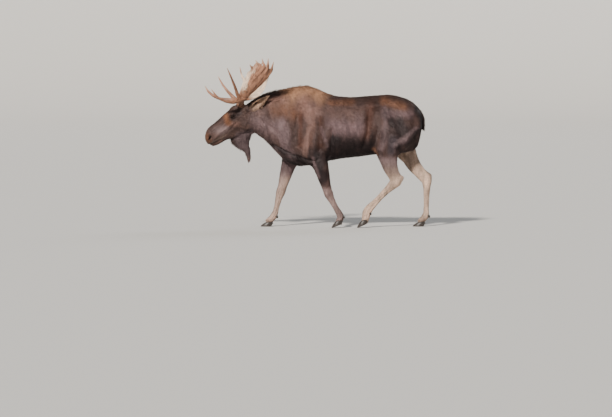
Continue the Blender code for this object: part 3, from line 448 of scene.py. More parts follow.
def face_forms(points):
    """Height of the lips, nostrils, brow, cheek and jaw over the plain head."""
    forward, left, up = ((points - OCCIPUT) @ HEAD_AXES.T).T
    over = up - mouth_height(forward)
    side = step(0.012, 0.035, np.abs(left))
    mouth = step(0.365, 0.4, forward)
    rise = mouth * (-0.0085 * hill(over / 0.0034) + 0.005 * hill((over - 0.017) / 0.01))
    rise += mouth * (0.0032 * hill((over + 0.013) / 0.008) - 0.004 * hill((over + 0.03) / 0.01))
    rise += 0.004 * hill((forward - 0.362) / 0.01) * hill(over / 0.014)  # corner of the mouth
    rim = nostril_distance(forward, up)
    rise += side * (-0.018 * step(1.05, 0.45, rim) + 0.0042 * hill((rim - 1.45) / 0.38))
    at_eye = np.hypot((forward - EYE[0]) / 1.25, up - EYE[2])
    rise += side * 0.0065 * hill(np.hypot((forward - 0.14) / 0.045, (up - 0.153) / 0.012))  # brow
    rise -= side * 0.003 * hill((at_eye - 0.03) / 0.007)
    rise += side * form_height(FACE_FORMS, forward, up)
    wrinkles = np.sin(forward * 310 + 30 * up) * hill((forward - 0.5) / 0.05) * hill((over - 0.035) / 0.018)
    rise += side * 0.0009 * wrinkles
    rise -= 0.003 * hill(left / 0.012) * hill((forward - 0.585) / 0.02)  # groove down the upper lip
    return rise


NOT_FLESH = ("antler", "eye", "ear")
flesh = [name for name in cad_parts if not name.startswith(NOT_FLESH) and "claw" not in name]
CLOSE_THE_CUT = 0.0004  # how far each solid swells, so that its cuts meet its neighbours'
parts = []
for name in sorted(flesh):
    points, triangles = taken(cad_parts[name].data)
    points, index = np.unique(np.round(points, 6), axis=0, return_inverse=True)
    triangles = index.reshape(-1)[triangles]
    parts.append((points + CLOSE_THE_CUT * facing(points, triangles), triangles))
parts.append(egg((1.262, 0, 1.275), (0.036, 0.022, 0.075), np.eye(3)))  # between the tail and the rump
for side in SIDES.values():  # flesh round the root of the ear, where the solid has a socket
    parts.append(egg(from_poll([EAR_ROOT], side)[0], (0.036, 0.026, 0.034), HEAD_AXES))

SKIN_VOXEL = 0.0042
RELAX_BODY, RELAX_HEAD, RELAX_LEGS, RELAX_BELL = 0.9, 0.075, 0.12, 0.15  # the last on top of the head's
RELAX_REACH = 0.25
points, triangles = fused(parts, SKIN_VOXEL)
on_head = step(-0.8, -0.9, points[:, 0])
on_leg = step(0.98, 0.82, points[:, 2]) * (1 - on_head)
on_bell = on_head * step(1.26, 1.18, points[:, 2]) * step(-1.02, -0.98, points[:, 0])
strength = RELAX_BODY + on_head * (RELAX_HEAD - RELAX_BODY) + on_leg * (RELAX_LEGS - RELAX_BODY)
points = relaxed(points, triangles, round(RELAX_REACH / SKIN_VOXEL), strength + on_bell * RELAX_BELL)
coat_depth = read_guides(points)[0][:, 1]
normals = facing(points, triangles)
on_face = on_head * step(1.2, 1.26, points[:, 2] + 0.5 * (-0.9 - points[:, 0]))
rise = body_forms(points, normals) + on_face * face_forms(points)
points = points + (rise - coat_depth)[:, None] * normals

SKIN_TRIANGLES = 150_000
skin = made("skin", points, triangles)
ready = skin.vertex_groups.new(name="ready")  # to be thinned: 1 most, less for what keeps its detail
for low, high, weight in ((-0.5, 0.5, 1.0), (0.5, 1.5, 0.9)):
    chosen = np.flatnonzero((on_head > low) & (on_head <= high))
    ready.add(chosen.tolist(), weight, "REPLACE")
altered(
    skin,
    "DECIMATE",
    ratio=SKIN_TRIANGLES / len(triangles),
    use_collapse_triangulate=True,
    vertex_group="ready",
    vertex_group_factor=1.0,
)
points, triangles = taken(skin.data)
bpy.data.objects.remove(skin)


def ear(side):
    """A cupped leaf: arcs that open from a tube at the root to a shallow scoop at the tip."""
    along = unit(EAR_TIP - EAR_ROOT)
    mouth = unit(EAR_MOUTH - along * (EAR_MOUTH @ along))
    t = np.linspace(0, 1, 34)[:, None]
    swell = 0.42 + 0.58 * np.sin(np.pi * np.minimum(t / 0.92, 1) ** 0.75)
    half = np.maximum(0.0525 * swell * (1 - t**6) ** 0.5, 0.004)
    cup = np.radians(150 - 105 * t)
    radius = half / np.sin(np.minimum(cup, np.pi / 2))
    thick = 0.0065 - 0.003 * t
    turn = cup * np.linspace(-1, 1, 17)
    wave = 1 + 0.03 * np.sin(5 * turn + 6 * t)
    outer = np.stack([(radius - 0.002) * np.sin(turn), -(radius - 0.002) * np.cos(turn) * wave], -1)
    inner = outer * np.maximum((radius - 0.002 - thick) / (radius - 0.002), 0.3)[..., None]
    loop = np.concatenate([outer, inner[:, ::-1]], axis=1)
    centre = EAR_ROOT + (EAR_TIP - EAR_ROOT) * t + mouth * radius * np.cos(cup) * 0.5
    place = centre[:, None] + loop[..., :1] * np.cross(along, mouth) + loop[..., 1:] * mouth
    return shell(from_poll(place.reshape(-1, 3), side).reshape(place.shape))


LID_STEPS, LID_AROUND = 13, 72


def lids(name):
    """Upper and lower lid: a band round an almond on the eyeball, from its wet edge out under the skin.

    Across the band the angle from the gaze grows while the height over the ball rises, dips and sinks.
    """
    around = once_round(LID_AROUND)[:, None]
    across = np.linspace(0, 1, LID_STEPS)
    upper = np.sin(around) > 0
    level = np.radians(60) * np.cos(around)
    height = np.radians(np.where(upper, 31, 27)) * np.sin(around) * (0.8 + 0.2 * np.abs(np.sin(around)))
    height = height - np.radians(9) * np.maximum(np.cos(around), 0) ** 2
    reach = np.hypot(level, height)
    spread = np.radians(np.where(upper, 44, 34)) * across
    fold = np.where(upper, 0.0022, 0.001) * hill((across - 0.62) / 0.13)
    fold = fold - 0.0016 * hill((across - 0.4) / 0.09)
    over = 0.0003 + 0.0042 * step(0, 0.16, across) + fold - 0.01 * step(0.66, 1.0, across)
    tilt = np.minimum(reach + spread, np.radians(112))
    from_centre = EYE_RADIUS + np.where(across > 0, over, -0.001)
    tilted_to = np.stack([level / reach, height / reach], -1) @ HEAD_AXES[(0, 2), :]
    gaze = SIDES[name] * HEAD_LEFT
    rings = np.cos(tilt)[..., None] * gaze + np.sin(tilt)[..., None] * tilted_to
    centre, back = EYE_CENTRES[name], rings[:, ::-1]
    under = centre + back * np.minimum(from_centre[:, ::-1], EYE_RADIUS)[..., None] - 0.003 * back
    band = np.concatenate([centre + rings * from_centre[..., None], under], axis=1)
    rows, count, _ = band.shape
    return turned_out(band.reshape(-1, 3), woven(rows, count, rows))


extras = [ear(side) for side in SIDES.values()] + [lids(name) for name in SIDES]
ear_corners = len(points) + sum(len(part[0]) for part in extras[:2])
skin_points, skin_triangles = joined([(points, triangles)] + extras)
skin_normals = facing(skin_points, skin_triangles)
skin = made("skin", skin_points, skin_triangles)

# Colours of the hair, as light gives them back: red, green, blue. The mauves are partly a painted sheen, the
# blue-grey that glossy dark hair reflects.
UMBER = (0.05, 0.029, 0.025)
GREY = (0.05, 0.04, 0.048)
BROWN = (0.104, 0.061, 0.053)
MAUVE = (0.135, 0.085, 0.089)
PALE_MAUVE = (0.172, 0.115, 0.12)
LILAC = (0.215, 0.15, 0.146)
GOLD = (0.315, 0.166, 0.096)
TAN = (0.215, 0.119, 0.097)
ORANGE = (0.195, 0.084, 0.044)
# dark rusty hair, and painted shade in the grooves where it is used
RUST_AND_SHADE = (0.052, 0.019, 0.011)
# near-black hair, and painted shade and shadow where it is used
BLACK_HAIR_AND_SHADE = (0.0095, 0.0063, 0.0068)
FAWN = (0.24, 0.168, 0.136)
CREAM = (0.58, 0.415, 0.315)
# The hair's markings with painted highlights and painted shade among them, alike on both sides: a line in x
# and z, its half width, colour and strength
MARKS = [
    ([(-0.38, 1.64), (-0.2, 1.7), (-0.02, 1.66)], 0.12, GOLD, 0.95),
    ([(-0.54, 1.5), (-0.32, 1.44)], 0.12, ORANGE, 0.5),
    ([(-0.62, 1.58), (-0.42, 1.6)], 0.06, TAN, 0.6),
    ([(-0.2, 1.56), (-0.12, 1.46)], 0.12, TAN, 0.85),
    ([(0.12, 1.44), (0.58, 1.44)], 0.1, BROWN, 0.9),
    # mauve of the flank, partly a painted sheen
    ([(0.2, 1.26), (0.46, 1.26)], 0.13, MAUVE, 0.95),
    # pale mauve of the neck, partly a painted sheen
    ([(-0.76, 1.32), (-0.54, 1.22)], 0.12, PALE_MAUVE, 0.6),
    ([(-0.78, 1.42), (-0.66, 1.46)], 0.05, BROWN, 0.7),
    # painted highlight on the point of the shoulder
    ([(-0.468, 1.32), (-0.428, 1.03), (-0.32, 0.87)], 0.066, PALE_MAUVE, 0.8),
    # painted shade in the groove before the upper arm, over darker rusty hair
    ([(-0.24, 1.4), (-0.25, 1.03)], 0.046, RUST_AND_SHADE, 0.8),
    # painted highlight along the ridge of the shoulder blade and arm
    ([(-0.146, 1.44), (-0.105, 1.28), (-0.159, 1.03), (-0.132, 0.87)], 0.052, TAN, 0.8),
    # painted shade in the groove behind the upper arm, over darker rusty hair
    ([(-0.01, 1.36), (0.0, 0.95)], 0.046, RUST_AND_SHADE, 0.8),
    # painted highlight on the muscle between
    ([(0.02, 1.26), (0.1, 0.98)], 0.02, PALE_MAUVE, 0.5),
    # painted shadow in the groove behind the elbow
    ([(0.15, 1.13), (0.14, 0.85)], 0.046, BLACK_HAIR_AND_SHADE, 0.95),
    # rusty band of the flank, darkened by painted shade in its hollow
    ([(0.61, 1.5), (0.59, 1.21), (0.55, 1.02)], 0.07, RUST_AND_SHADE, 0.95),
    ([(0.84, 1.42), (1.1, 1.42)], 0.06, MAUVE, 0.8),
    # painted highlight along the ridge from hip to knee
    ([(0.8, 1.48), (0.8, 1.13), (0.755, 1.0)], 0.04, PALE_MAUVE, 0.6),
    # painted shade in the hollow of the thigh
    ([(0.94, 1.3), (1.06, 1.16)], 0.12, BLACK_HAIR_AND_SHADE, 0.85),
    ([(0.9, 1.1), (0.9, 0.96)], 0.06, GREY, 0.75),
    # painted highlight along the hamstring
    ([(0.943, 1.025), (1.064, 1.119), (1.198, 1.24)], 0.036, PALE_MAUVE, 0.75),
    ([(0.78, 1.57), (1.02, 1.5)], 0.05, ORANGE, 0.6),
    ([(0.12, 1.55), (0.38, 1.55)], 0.04, ORANGE, 0.5),
    # painted shade down the back of the rump and buttocks
    ([(1.25, 1.5), (1.27, 1.19), (1.2, 0.95)], 0.085, BLACK_HAIR_AND_SHADE, 0.95),
    # black belly: dark hair with painted shade underneath
    ([(0.05, 0.86), (0.66, 0.89)], 0.13, BLACK_HAIR_AND_SHADE, 1.0),
    # lower flank darker towards the belly: dark hair and painted shade
    ([(0.2, 1.03), (0.56, 1.05)], 0.12, BLACK_HAIR_AND_SHADE, 0.9),
    # dark underside of the brisket: dark hair and painted shade
    ([(-0.44, 0.86), (-0.16, 0.8)], 0.09, BLACK_HAIR_AND_SHADE, 0.85),
    # painted shadow in the crease above the brisket
    ([(-0.58, 1.03), (-0.4, 0.95), (-0.27, 0.89), (-0.07, 0.83)], 0.028, BLACK_HAIR_AND_SHADE, 0.9),
    # painted highlight on the point of the chest
    ([(-0.56, 0.98), (-0.48, 0.88)], 0.034, PALE_MAUVE, 0.6),
    # painted shade in the hollow behind the knee
    ([(0.97, 1.02), (1.04, 0.88)], 0.055, BLACK_HAIR_AND_SHADE, 0.9),
    ([(0.67, 0.99), (0.71, 0.93)], 0.028, ORANGE, 0.5),
    ([(-0.04, 0.92), (0.05, 0.6)], 0.1, BLACK_HAIR_AND_SHADE, 0.95),
    # painted highlight down the front of the forearm
    ([(-0.085, 0.88), (0.0, 0.64)], 0.02, PALE_MAUVE, 0.6),
]
FACE_MARKS = [  # the same on the head, forward and up
    ([(0.05, 0.0), (0.22, 0.02)], 0.09, UMBER, 0.8),
    ([(0.2, 0.17), (0.46, 0.17)], 0.045, UMBER, 0.8),
    # painted highlight on the middle of the face
    ([(0.31, 0.06), (0.41, 0.09)], 0.058, LILAC, 0.9),
    # painted highlight on the temple
    ([(0.16, 0.01), (0.22, 0.06)], 0.036, TAN, 0.6),
    ([(0.19, 0.24), (0.215, 0.17), (0.245, 0.1)], 0.042, ORANGE, 0.95),
    # dark hair round the eye, under a painted shadow of the antler
    ([(0.08, 0.12), (0.17, 0.115)], 0.044, BLACK_HAIR_AND_SHADE, 0.6),
    ([(0.47, 0.06), (0.5, 0.14)], 0.05, BROWN, 0.8),
    ([(0.55, 0.13), (0.57, 0.06)], 0.04, ORANGE, 0.6),
    ([(0.36, 0.0), (0.42, -0.012)], 0.016, FAWN, 0.5),
    ([(0.43, 0.002), (0.56, 0.016)], 0.014, FAWN, 0.6),
    ([(0.44, -0.03), (0.55, -0.012)], 0.016, TAN, 0.6),
    # painted shadow under the jaw
    ([(0.08, -0.14), (0.3, -0.1)], 0.04, BLACK_HAIR_AND_SHADE, 0.5),
]


def painted(colour, new, share):
    return colour + np.clip(share, 0, 1)[:, None] * (np.array(new) - colour)


def marked(colour, x, z, marks, ragged):
    """Adds marks along their lines, fading out to either side with a ragged edge."""
    for line, width, new, share in marks:
        colour = painted(colour, new, share * step(1.55, 0.05, line_distance(x, z, line) / width + ragged))
    return colour


def grain(points):
    """Places squeezed along the hair, so that noise draws streaks: down the body, along the face."""
    down = points * (1, 1, 0.22)
    ahead = points - 0.78 * (points @ HEAD_FORWARD)[:, None] * HEAD_FORWARD
    share = step(-0.74, -0.88, points[:, 0])[:, None]
    return down + share * (ahead - down)


def follows(which, *words):
    """Whether each point follows a guide whose name has one of the words."""
    numbers = [n for n, name in enumerate(guides) if any(word in name for word in words)]
    return np.isin(which, numbers)


def markings(points, normals, which):
    """The colour of the coat: patches on the body, with painted highlights on its ridges and painted shade in
    its grooves and underneath, pale lower and inner legs, face, ears and bell.
    """
    x, y, z = points.T
    lies = grain(points)
    streak = 0.65 * mottle(lies, 0.042, 3) + 0.35 * mottle(lies, 0.016, 4) - 0.5
    drift = mottle(points, 0.11, 5) - 0.5
    ragged = 0.7 * drift + 0.9 * streak
    colour = marked(np.tile(UMBER, (len(points), 1)), x, z, MARKS, ragged)

    hind = step(0.38, 0.4, x)
    inner = step(0.0, 0.6, -normals[:, 1] * np.sign(y))
    height = z + 0.1 * streak + 0.06 * drift - (0.5 + 0.38 * hind) - inner * (0.14 + 0.04 * hind)
    pale = step(0.07, -0.05, height) * (follows(which, "fore", "hind") | (z < 0.6))
    colour = painted(colour, PALE_MAUVE, pale * 0.95)
    colour = painted(colour, LILAC, pale * hind * (0.95 - 0.2 * step(0.66, 0.84, z) * (1 - inner)))
    colour = painted(colour, FAWN, pale * (0.25 + 0.75 * hind) * step(0.84, 0.66, z))
    whole = np.maximum(step(0.7, 0.56, z) * (0.15 + 0.85 * hind), inner)
    cream = 0.35 + 0.25 * hind + 0.4 * mottle(lies, 0.05, 9)
    below_knee = 1 - 0.45 * (1 - hind) * step(0.42, 0.6, z)
    colour = painted(colour, CREAM, pale * cream * whole * below_knee)
    colour = painted(colour, PALE_MAUVE, inner * (1 - hind) * step(0.58, 0.68, z) * step(0.92, 0.84, z) * 0.6)
    # darker on the backs of the pale legs: painted shade in the hollow behind each fore knee, and darker hair
    # above the hooves
    hollow = hill((z - 0.47 - 0.01 * hind) / 0.05) * (1 - hind)
    dusk = 0.3 * hollow + 0.5 * step(0.15, 0.07, z)
    colour = painted(colour, BROWN, pale * dusk * step(-0.6, 0.2, normals[:, 0]))
    colour = painted(colour, UMBER, 0.8 * follows(which, "tail"))

    forward, left, up = ((points - OCCIPUT) @ HEAD_AXES.T).T
    face = marked(np.tile((0.07, 0.042, 0.035), (len(points), 1)), forward, up, FACE_MARKS, 0.8 * ragged)
    nostril = step(0.012, 0.035, np.abs(left)) * step(1.45, 1.0, nostril_distance(forward, up))
    mouth = step(0.36, 0.4, forward) * hill((up - mouth_height(forward)) / 0.0042)
    # near black in the nostrils and along the mouth line: dark bare skin, with painted shade in these hollows
    face = painted(face, (0.018, 0.012, 0.011), np.maximum(nostril, 0.9 * mouth))
    colour = colour + step(-0.84, -0.92, x)[:, None] * (face - colour)
    bell = step(1.24, 1.18, z - 0.3 * (x + 0.95)) * step(-1.06, -1.0, x) * step(-0.8, -0.84, x)
    colour = painted(colour, (0.08, 0.055, 0.058), bell * 0.9)
    colour = painted(colour, BROWN, bell * step(0.96, 0.86, z) * 0.6)

    roots = np.array([from_poll([EAR_ROOT], side)[0] for side in SIDES.values()])
    from_root = np.min(np.linalg.norm(points[:, None] - roots, axis=2), axis=1)
    ears = follows(which, "ear") * step(0.045, 0.105, from_root + 0.06 * streak)
    on_left = ((points - OCCIPUT) @ HEAD_LEFT > 0)[:, None]
    mouths = unit(np.where(on_left, heading(EAR_MOUTH, 1), heading(EAR_MOUTH, -1)))
    in_mouth = step(0.0, 0.5, np.sum(mouths * normals, axis=1))
    colour = painted(colour, (0.06, 0.038, 0.031), ears * 0.85)
    colour = painted(colour, (0.3, 0.19, 0.13), ears * 0.9 * in_mouth)
    return colour * (1 + 1.35 * streak[:, None] + 0.3 * drift[:, None])


def coloured(piece, name, colours):
    """Keeps a colour for each corner of the mesh, under a name that the material reads."""
    layer = piece.data.color_attributes.new(name, "FLOAT_COLOR", "POINT")
    opaque = np.column_stack([colours, np.ones(len(colours))])
    layer.data.foreach_set("color", opaque.astype(np.float32).ravel())


def traced(piece, name, vectors):
    """Keeps a vector for each corner of the mesh."""
    layer = piece.data.attributes.new(name, "FLOAT_VECTOR", "POINT")
    layer.data.foreach_set("vector", vectors.astype(np.float32).ravel())


skin_values, skin_lie, skin_which, skin_place, _ = read_guides(skin_points)
hide_colour = markings(skin_points, skin_normals, skin_which)
is_lid = np.arange(len(skin_points)) >= ear_corners
nearer_eye = np.array(list(EYE_CENTRES.values()))[(skin_points[:, 1] > OCCIPUT[1]).astype(int)]
eye_arm = skin_points - nearer_eye
from_eye = np.linalg.norm(eye_arm, axis=1)
furred = np.ones(len(skin_points))  # the lids are bare from their wet edge to the crease
across_lid = np.append(step(0.25, 0.55, np.linspace(0, 1, LID_STEPS)), np.zeros(LID_STEPS))
furred[ear_corners:] = np.tile(across_lid, 2 * LID_AROUND)
hide_colour = painted(hide_colour, (0.016, 0.01, 0.008), 1 - 0.9 * furred)
coloured(skin, "hide", hide_colour * 0.85)
traced(skin, "grain", grain(skin_points))


def wired(tree, made_node, **inputs):
    """Sets a shader node's inputs to values, or joins them to the outputs of other nodes."""
    for key, value in inputs.items():
        socket = made_node.inputs[int(key[1:]) if key[0] == "_" else key.replace("_", " ")]
        if isinstance(value, bpy.types.NodeSocket):
            tree.links.new(value, socket)
        else:
            socket.default_value = value
    return made_node.outputs


def node(tree, kind, settings=None, **inputs):
    """The outputs of a new shader node of that kind."""
    made_node = tree.nodes.new("ShaderNode" + kind)
    for key, value in (settings or {}).items():
        setattr(made_node, key, value)
    return wired(tree, made_node, **inputs)


def maths(tree, operation, *values, kind="Math"):
    """One step of arithmetic on numbers, or on vectors where `kind` says so."""
    return node(tree, kind, {"operation": operation}, **{f"_{n}": value for n, value in enumerate(values)})[0]


def dimmed(tree, colour, factor):
    return node(tree, "VectorMath", {"operation": "SCALE"}, _0=colour, Scale=factor)[0]


def noise(tree, place, scale, detail, roughness=0.5):
    return node(tree, "TexNoise", Vector=place, Scale=scale, Detail=detail, Roughness=roughness)[0]


def relief(tree, height, distance, strength):
    return node(tree, "Bump", Height=height, Distance=distance, Strength=strength)[0]


def kept(tree, name, output):
    """What the mesh keeps under that name, as a colour or a vector."""
    return node(tree, "Attribute", {"attribute_name": name})[output]


def surface(name):
    """A new material, its nodes and its shader."""
    material = bpy.data.materials.new(name)
    material.use_nodes = True
    return material, material.node_tree, material.node_tree.nodes["Principled BSDF"]


# Fur grain: fine streaks that lighten and darken a colour along the hair, and the height of the same streaks
fur_grain = bpy.data.node_groups.new("fur_grain", "ShaderNodeTree")
for name, kind, direction in (
    ("Tone", "Color", "INPUT"),
    ("Grain", "Vector", "INPUT"),
    ("Contrast", "Float", "INPUT"),
    ("Colour", "Color", "OUTPUT"),
    ("Height", "Float", "OUTPUT"),
):
    fur_grain.interface.new_socket(name, in_out=direction, socket_type="NodeSocket" + kind)
given = fur_grain.nodes.new("NodeGroupInput").outputs
fine = noise(fur_grain, given["Grain"], 520.0, 3.0, 0.6)
broad = noise(fur_grain, given["Grain"], 95.0, 2.0)
both = maths(fur_grain, "MULTIPLY_ADD", broad, 0.6, fine)
swing = maths(fur_grain, "MULTIPLY_ADD", maths(fur_grain, "SUBTRACT", both, 0.8), given["Contrast"], 1.0)
shaded = dimmed(fur_grain, given["Tone"], swing)
wired(fur_grain, fur_grain.nodes.new("NodeGroupOutput"), Colour=shaded, Height=both)


def fur_material(name, layer, contrast, bump, roughness, sheen):
    """Hair or hide: the piece's own colours through the fur grain, with a soft bump and a little sheen."""
    material, tree, shader = surface(name)
    tone, lie = kept(tree, layer, "Color"), kept(tree, "grain", "Vector")
    streaks = node(tree, "Group", {"node_tree": fur_grain}, Tone=tone, Grain=lie, Contrast=contrast)
    wired(
        tree,
        shader,
        Base_Color=streaks["Colour"],
        Normal=relief(tree, streaks["Height"], bump, 0.8),
        Roughness=roughness,
        Specular_IOR_Level=0.26,
        Specular_Tint=(1.0, 0.84, 0.86, 1),
        Sheen_Weight=sheen,
        Sheen_Roughness=0.45,
        Sheen_Tint=(1.0, 0.86, 0.84, 1),
    )
    return material


hide_material = fur_material("hide", "hide", contrast=0.9, bump=0.0016, roughness=0.62, sheen=0.05)
skin.data.materials.append(hide_material)
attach(skin, "root")
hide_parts(*flesh, "ear_left", "ear_right")

# ---------------------------------------------------------------------------------------------------
# Coat: coarse guard hair in flat locks that overlap like thatch, long on the neck and hump, and short
# on the face and legs. Each lock is three tapering strands from one root, laid along the lie of the
# coat and rising to its depth. It is divided where a furrier would divide a pelt.
# ---------------------------------------------------------------------------------------------------
STRANDS = 3
FAN, STRAY, ROLL = 0.16, 0.05, 0.3  # how far strands spread, locks stray and strands roll, in radians
PATCH = 0.003  # across, of a lock's place on the unwrap of the hide
COAT_SHARE = 1.0
COAT_PIECES = {  # guides followed, from and to how far along them in metres
    "coat_face": (("spine",), 0.0, 0.29),
    "coat_head": (("spine", "ear_left", "ear_right"), 0.29, 0.7),
    "coat_neck": (("spine",), 0.7, 1.15),
    "coat_shoulders": (("spine",), 1.15, 1.6),
    "coat_ribs": (("spine",), 1.6, 2.05),
    "coat_loins": (("spine",), 2.05, 2.5),
    "coat_rump": (("spine",), 2.5, 9.0),
    "coat_forelegs": (("left_fore", "right_fore"), 0.0, 9.0),
    "coat_hind_legs": (("left_hind", "right_hind"), 0.0, 9.0),
    "coat_bell": (("bell",), 0.0, 9.0),
    "coat_tail": (("tail",), 0.0, 9.0),
}
MOST_LOCKS = 22_000

corner_a, corner_b, corner_c = skin_points[skin_triangles.T]
areas = 0.5 * np.linalg.norm(np.cross(corner_b - corner_a, corner_c - corner_a), axis=1)
first = skin_triangles[:, 0]
hair_length, _, strand_width, _, layers = skin_values[first].T
crowding = layers / (STRANDS * 0.5 * hair_length * strand_width)  # locks for each square metre
# no locks on the rims of the lids, where they would cross the eye, or inside the nostrils
leaves_eye = np.sum(skin_lie * eye_arm, axis=1)[first] > -0.004
bare = np.where(is_lid[first], (furred[first] < 0.5) | ~leaves_eye, from_eye[first] < 0.0275)
head_place = (skin_points[first] - OCCIPUT) @ HEAD_AXES.T
bare |= (nostril_distance(head_place[:, 0], head_place[:, 2]) < 1.3) & (head_place[:, 0] > 0.45)
chances = areas * crowding * ~bare
draw = np.random.default_rng(41)


def flattened(vectors, normals):
    """Vectors without what they have along the normals."""
    return vectors - normals * np.sum(vectors * normals, axis=1, keepdims=True)


def angle_round(arm, course, straight_up):
    """The angle of arms round their guide, as a share of a turn, from above or from ahead."""
    mark = np.where(straight_up, np.array((1.0, 0, 0)), np.array((0, 0, 1.0)))
    mark = unit(flattened(mark, course))
    turn = np.arctan2(np.sum(arm * np.cross(course, mark), axis=1), np.sum(arm * mark, axis=1))
    return turn / (2 * np.pi) + 0.5


def ribbons(name, spines, sides, places, tones):
    """Flat strands that taper to a point.

    `spines` holds the points down each strand, `sides` the half width at each but the last, `places`
    where each strand lies on the unwrap, and `tones` its colour at each point.
    """
    count, steps, _ = spines.shape
    pairs = np.stack([spines[:, :-1] - sides, spines[:, :-1] + sides], axis=2).reshape(count, -1, 3)
    corners = np.concatenate([pairs, spines[:, -1:]], axis=1)
    rungs = np.arange(0, 2 * (steps - 2), 2)[:, None]
    one = np.vstack([rungs + (0, 1, 3), rungs + (0, 3, 2), [(2 * steps - 4, 2 * steps - 3, 2 * steps - 2)]])
    own = 2 * steps - 1
    triangles = (np.arange(count)[:, None, None] * own + one).reshape(-1, 3)
    piece = made(name, corners.reshape(-1, 3), triangles)
    tones = np.concatenate([np.repeat(tones[:, :-1], 2, axis=1), tones[:, -1:]], axis=1)
    coloured(piece, "coat", tones.reshape(-1, 3))
    traced(piece, "grain", grain(corners.reshape(-1, 3)))
    across = np.append(np.tile((-0.5, 0.5), steps - 1), 0) * PATCH / STRANDS
    along = np.append(np.repeat(np.arange(steps - 1), 2), steps - 1) / (steps - 1) * PATCH
    unwrapped = (places[:, None] + np.stack([across, along], -1)).reshape(-1, 2)
    layer = piece.data.uv_layers.new(name="OFBake")
    layer.data.foreach_set("uv", unwrapped[triangles.ravel()].astype(np.float32).ravel())
    piece.data.materials.append(coat_material)
    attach(piece, "root")


def locks(name, faces, names):
    """Locks of hair rooted on the given triangles of the skin.

    A strand leaves its root along the lie, turned a little to its side, and rises by
    depth * (1 - (1 - t)^2) over its length t; its width tapers to nothing at the tip.
    """
    count = int(min(chances[faces].sum() * COAT_SHARE, MOST_LOCKS))
    chosen = draw.choice(faces, count, p=chances[faces] / chances[faces].sum())
    u, v = draw.random((2, count, 1))
    u, v = np.where(u + v > 1, 1 - u, u), np.where(u + v > 1, 1 - v, v)
    a, b, c = skin_triangles[chosen].T
    roots = skin_points[a] * (1 - u - v) + skin_points[b] * u + skin_points[c] * v
    outward = unit(skin_normals[a] * (1 - u - v) + skin_normals[b] * u + skin_normals[c] * v)
    values, lie, which, place, foot = read_guides(roots)
    tangent = unit(flattened(lie, outward) + STRAY * draw.normal(size=(count, 3)))
    tangent = unit(flattened(tangent, outward))
    sideways = np.cross(outward, tangent)
    length, depth, width = values[:, :3].T
    clump = mottle(grain(roots), 0.03, 11)
    size = length * (0.72 + 0.5 * draw.random(count)) * (0.8 + 0.4 * clump)
    lift = depth * (0.7 + 0.55 * draw.random(count)) * (0.75 + 0.5 * clump)
    colour = markings(roots, outward, which) * (0.8 + 0.4 * draw.random((count, 1)))

    t = np.array((0.0, 0.5, 1.0))
    strand = np.arange(STRANDS) - (STRANDS - 1) / 2
    fan = FAN * strand + 0.07 * draw.normal(size=(count, STRANDS))
    long = size[:, None] * (0.82 + 0.3 * draw.random((count, STRANDS)))
    high = lift[:, None] * (0.8 + 0.4 * draw.random((count, STRANDS)))
    roll = ROLL * draw.normal(size=(count, STRANDS, 1))
    ahead = np.cos(fan)[..., None] * tangent[:, None] + np.sin(fan)[..., None] * sideways[:, None]
    across = np.cross(outward[:, None], ahead) * np.cos(roll) + outward[:, None] * np.sin(roll)
    start = roots[:, None] + sideways[:, None] * (strand * 0.9)[None, :, None] * width[:, None, None]
    start = start - outward[:, None] * np.minimum(0.25 * depth, 0.0012)[:, None, None]
    spines = (
        start[:, :, None]
        + ahead[:, :, None] * (long[..., None] * t)[..., None]
        + outward[:, None, None] * (high[..., None] * (1 - (1 - t) ** 2))[..., None]
    )
    sides = across[:, :, None] * (np.array((0.42, 0.5))[:, None] * width[:, None, None, None])
    # painted shade: each strand darker at its root, where other locks lie over it, and a little lighter
    # towards its tip
    shade = np.array((0.62, 1.0, 1.14))[:, None]
    tones = colour[:, None, None] * shade * np.ones((1, STRANDS, 1, 1))

    upright = ~follows(which, "spine")[:, None]
    turn = angle_round(roots - foot, unit(lie), upright)
    band = sum(number * follows(which, guide) for number, guide in enumerate(names))
    share = (place - place.min()) / (np.ptp(place) + 1e-9)
    at = 0.01 + 0.98 * np.column_stack([share, (band + turn) / len(names)])
    places = at[:, None] + np.stack([strand / STRANDS * PATCH, 0 * strand], -1)
    spines, tones = spines.reshape(-1, 3, 3), tones.reshape(-1, 3, 3)
    ribbons(name, spines, sides.reshape(-1, 2, 3), places.reshape(-1, 2), tones)


coat_material = fur_material("guard_hair", "coat", contrast=0.45, bump=0.0003, roughness=0.5, sheen=0.04)
for name, (names, start, end) in COAT_PIECES.items():
    inside = follows(skin_which[first], *names)
    on_spine = follows(skin_which[first], "spine")
    inside &= ~on_spine | ((skin_place[first] >= start) & (skin_place[first] < end))
    faces = np.flatnonzero(inside & (chances > 0))
    locks(name, faces, names)

# ---------------------------------------------------------------------------------------------------
# Eyes: dark, wet and deep-set, with the long level pupil of a browser. Each is a ball of glass-like
# cornea over a brown iris, and the lids of the skin close round it.
# ---------------------------------------------------------------------------------------------------
eye_material, tree, shader = surface("eye")
gaze = kept(tree, "gaze", "Vector")


def ramp(tree, value, *stops):
    """A colour that runs between two stops; each has a position and red, green and blue."""
    made_ramp = tree.nodes.new("ShaderNodeValToRGB")
    for element, (position, hue) in zip(made_ramp.color_ramp.elements, stops):
        element.position, element.color = position, (*hue, 1)
    return wired(tree, made_ramp, _0=value)[0]


def gaze_length(stretch):
    """How far a place is from the middle of the eye's front, with each axis stretched."""
    stretched = maths(tree, "MULTIPLY", gaze, stretch, kind="VectorMath")
    return node(tree, "VectorMath", {"operation": "LENGTH"}, _0=stretched)["Value"]


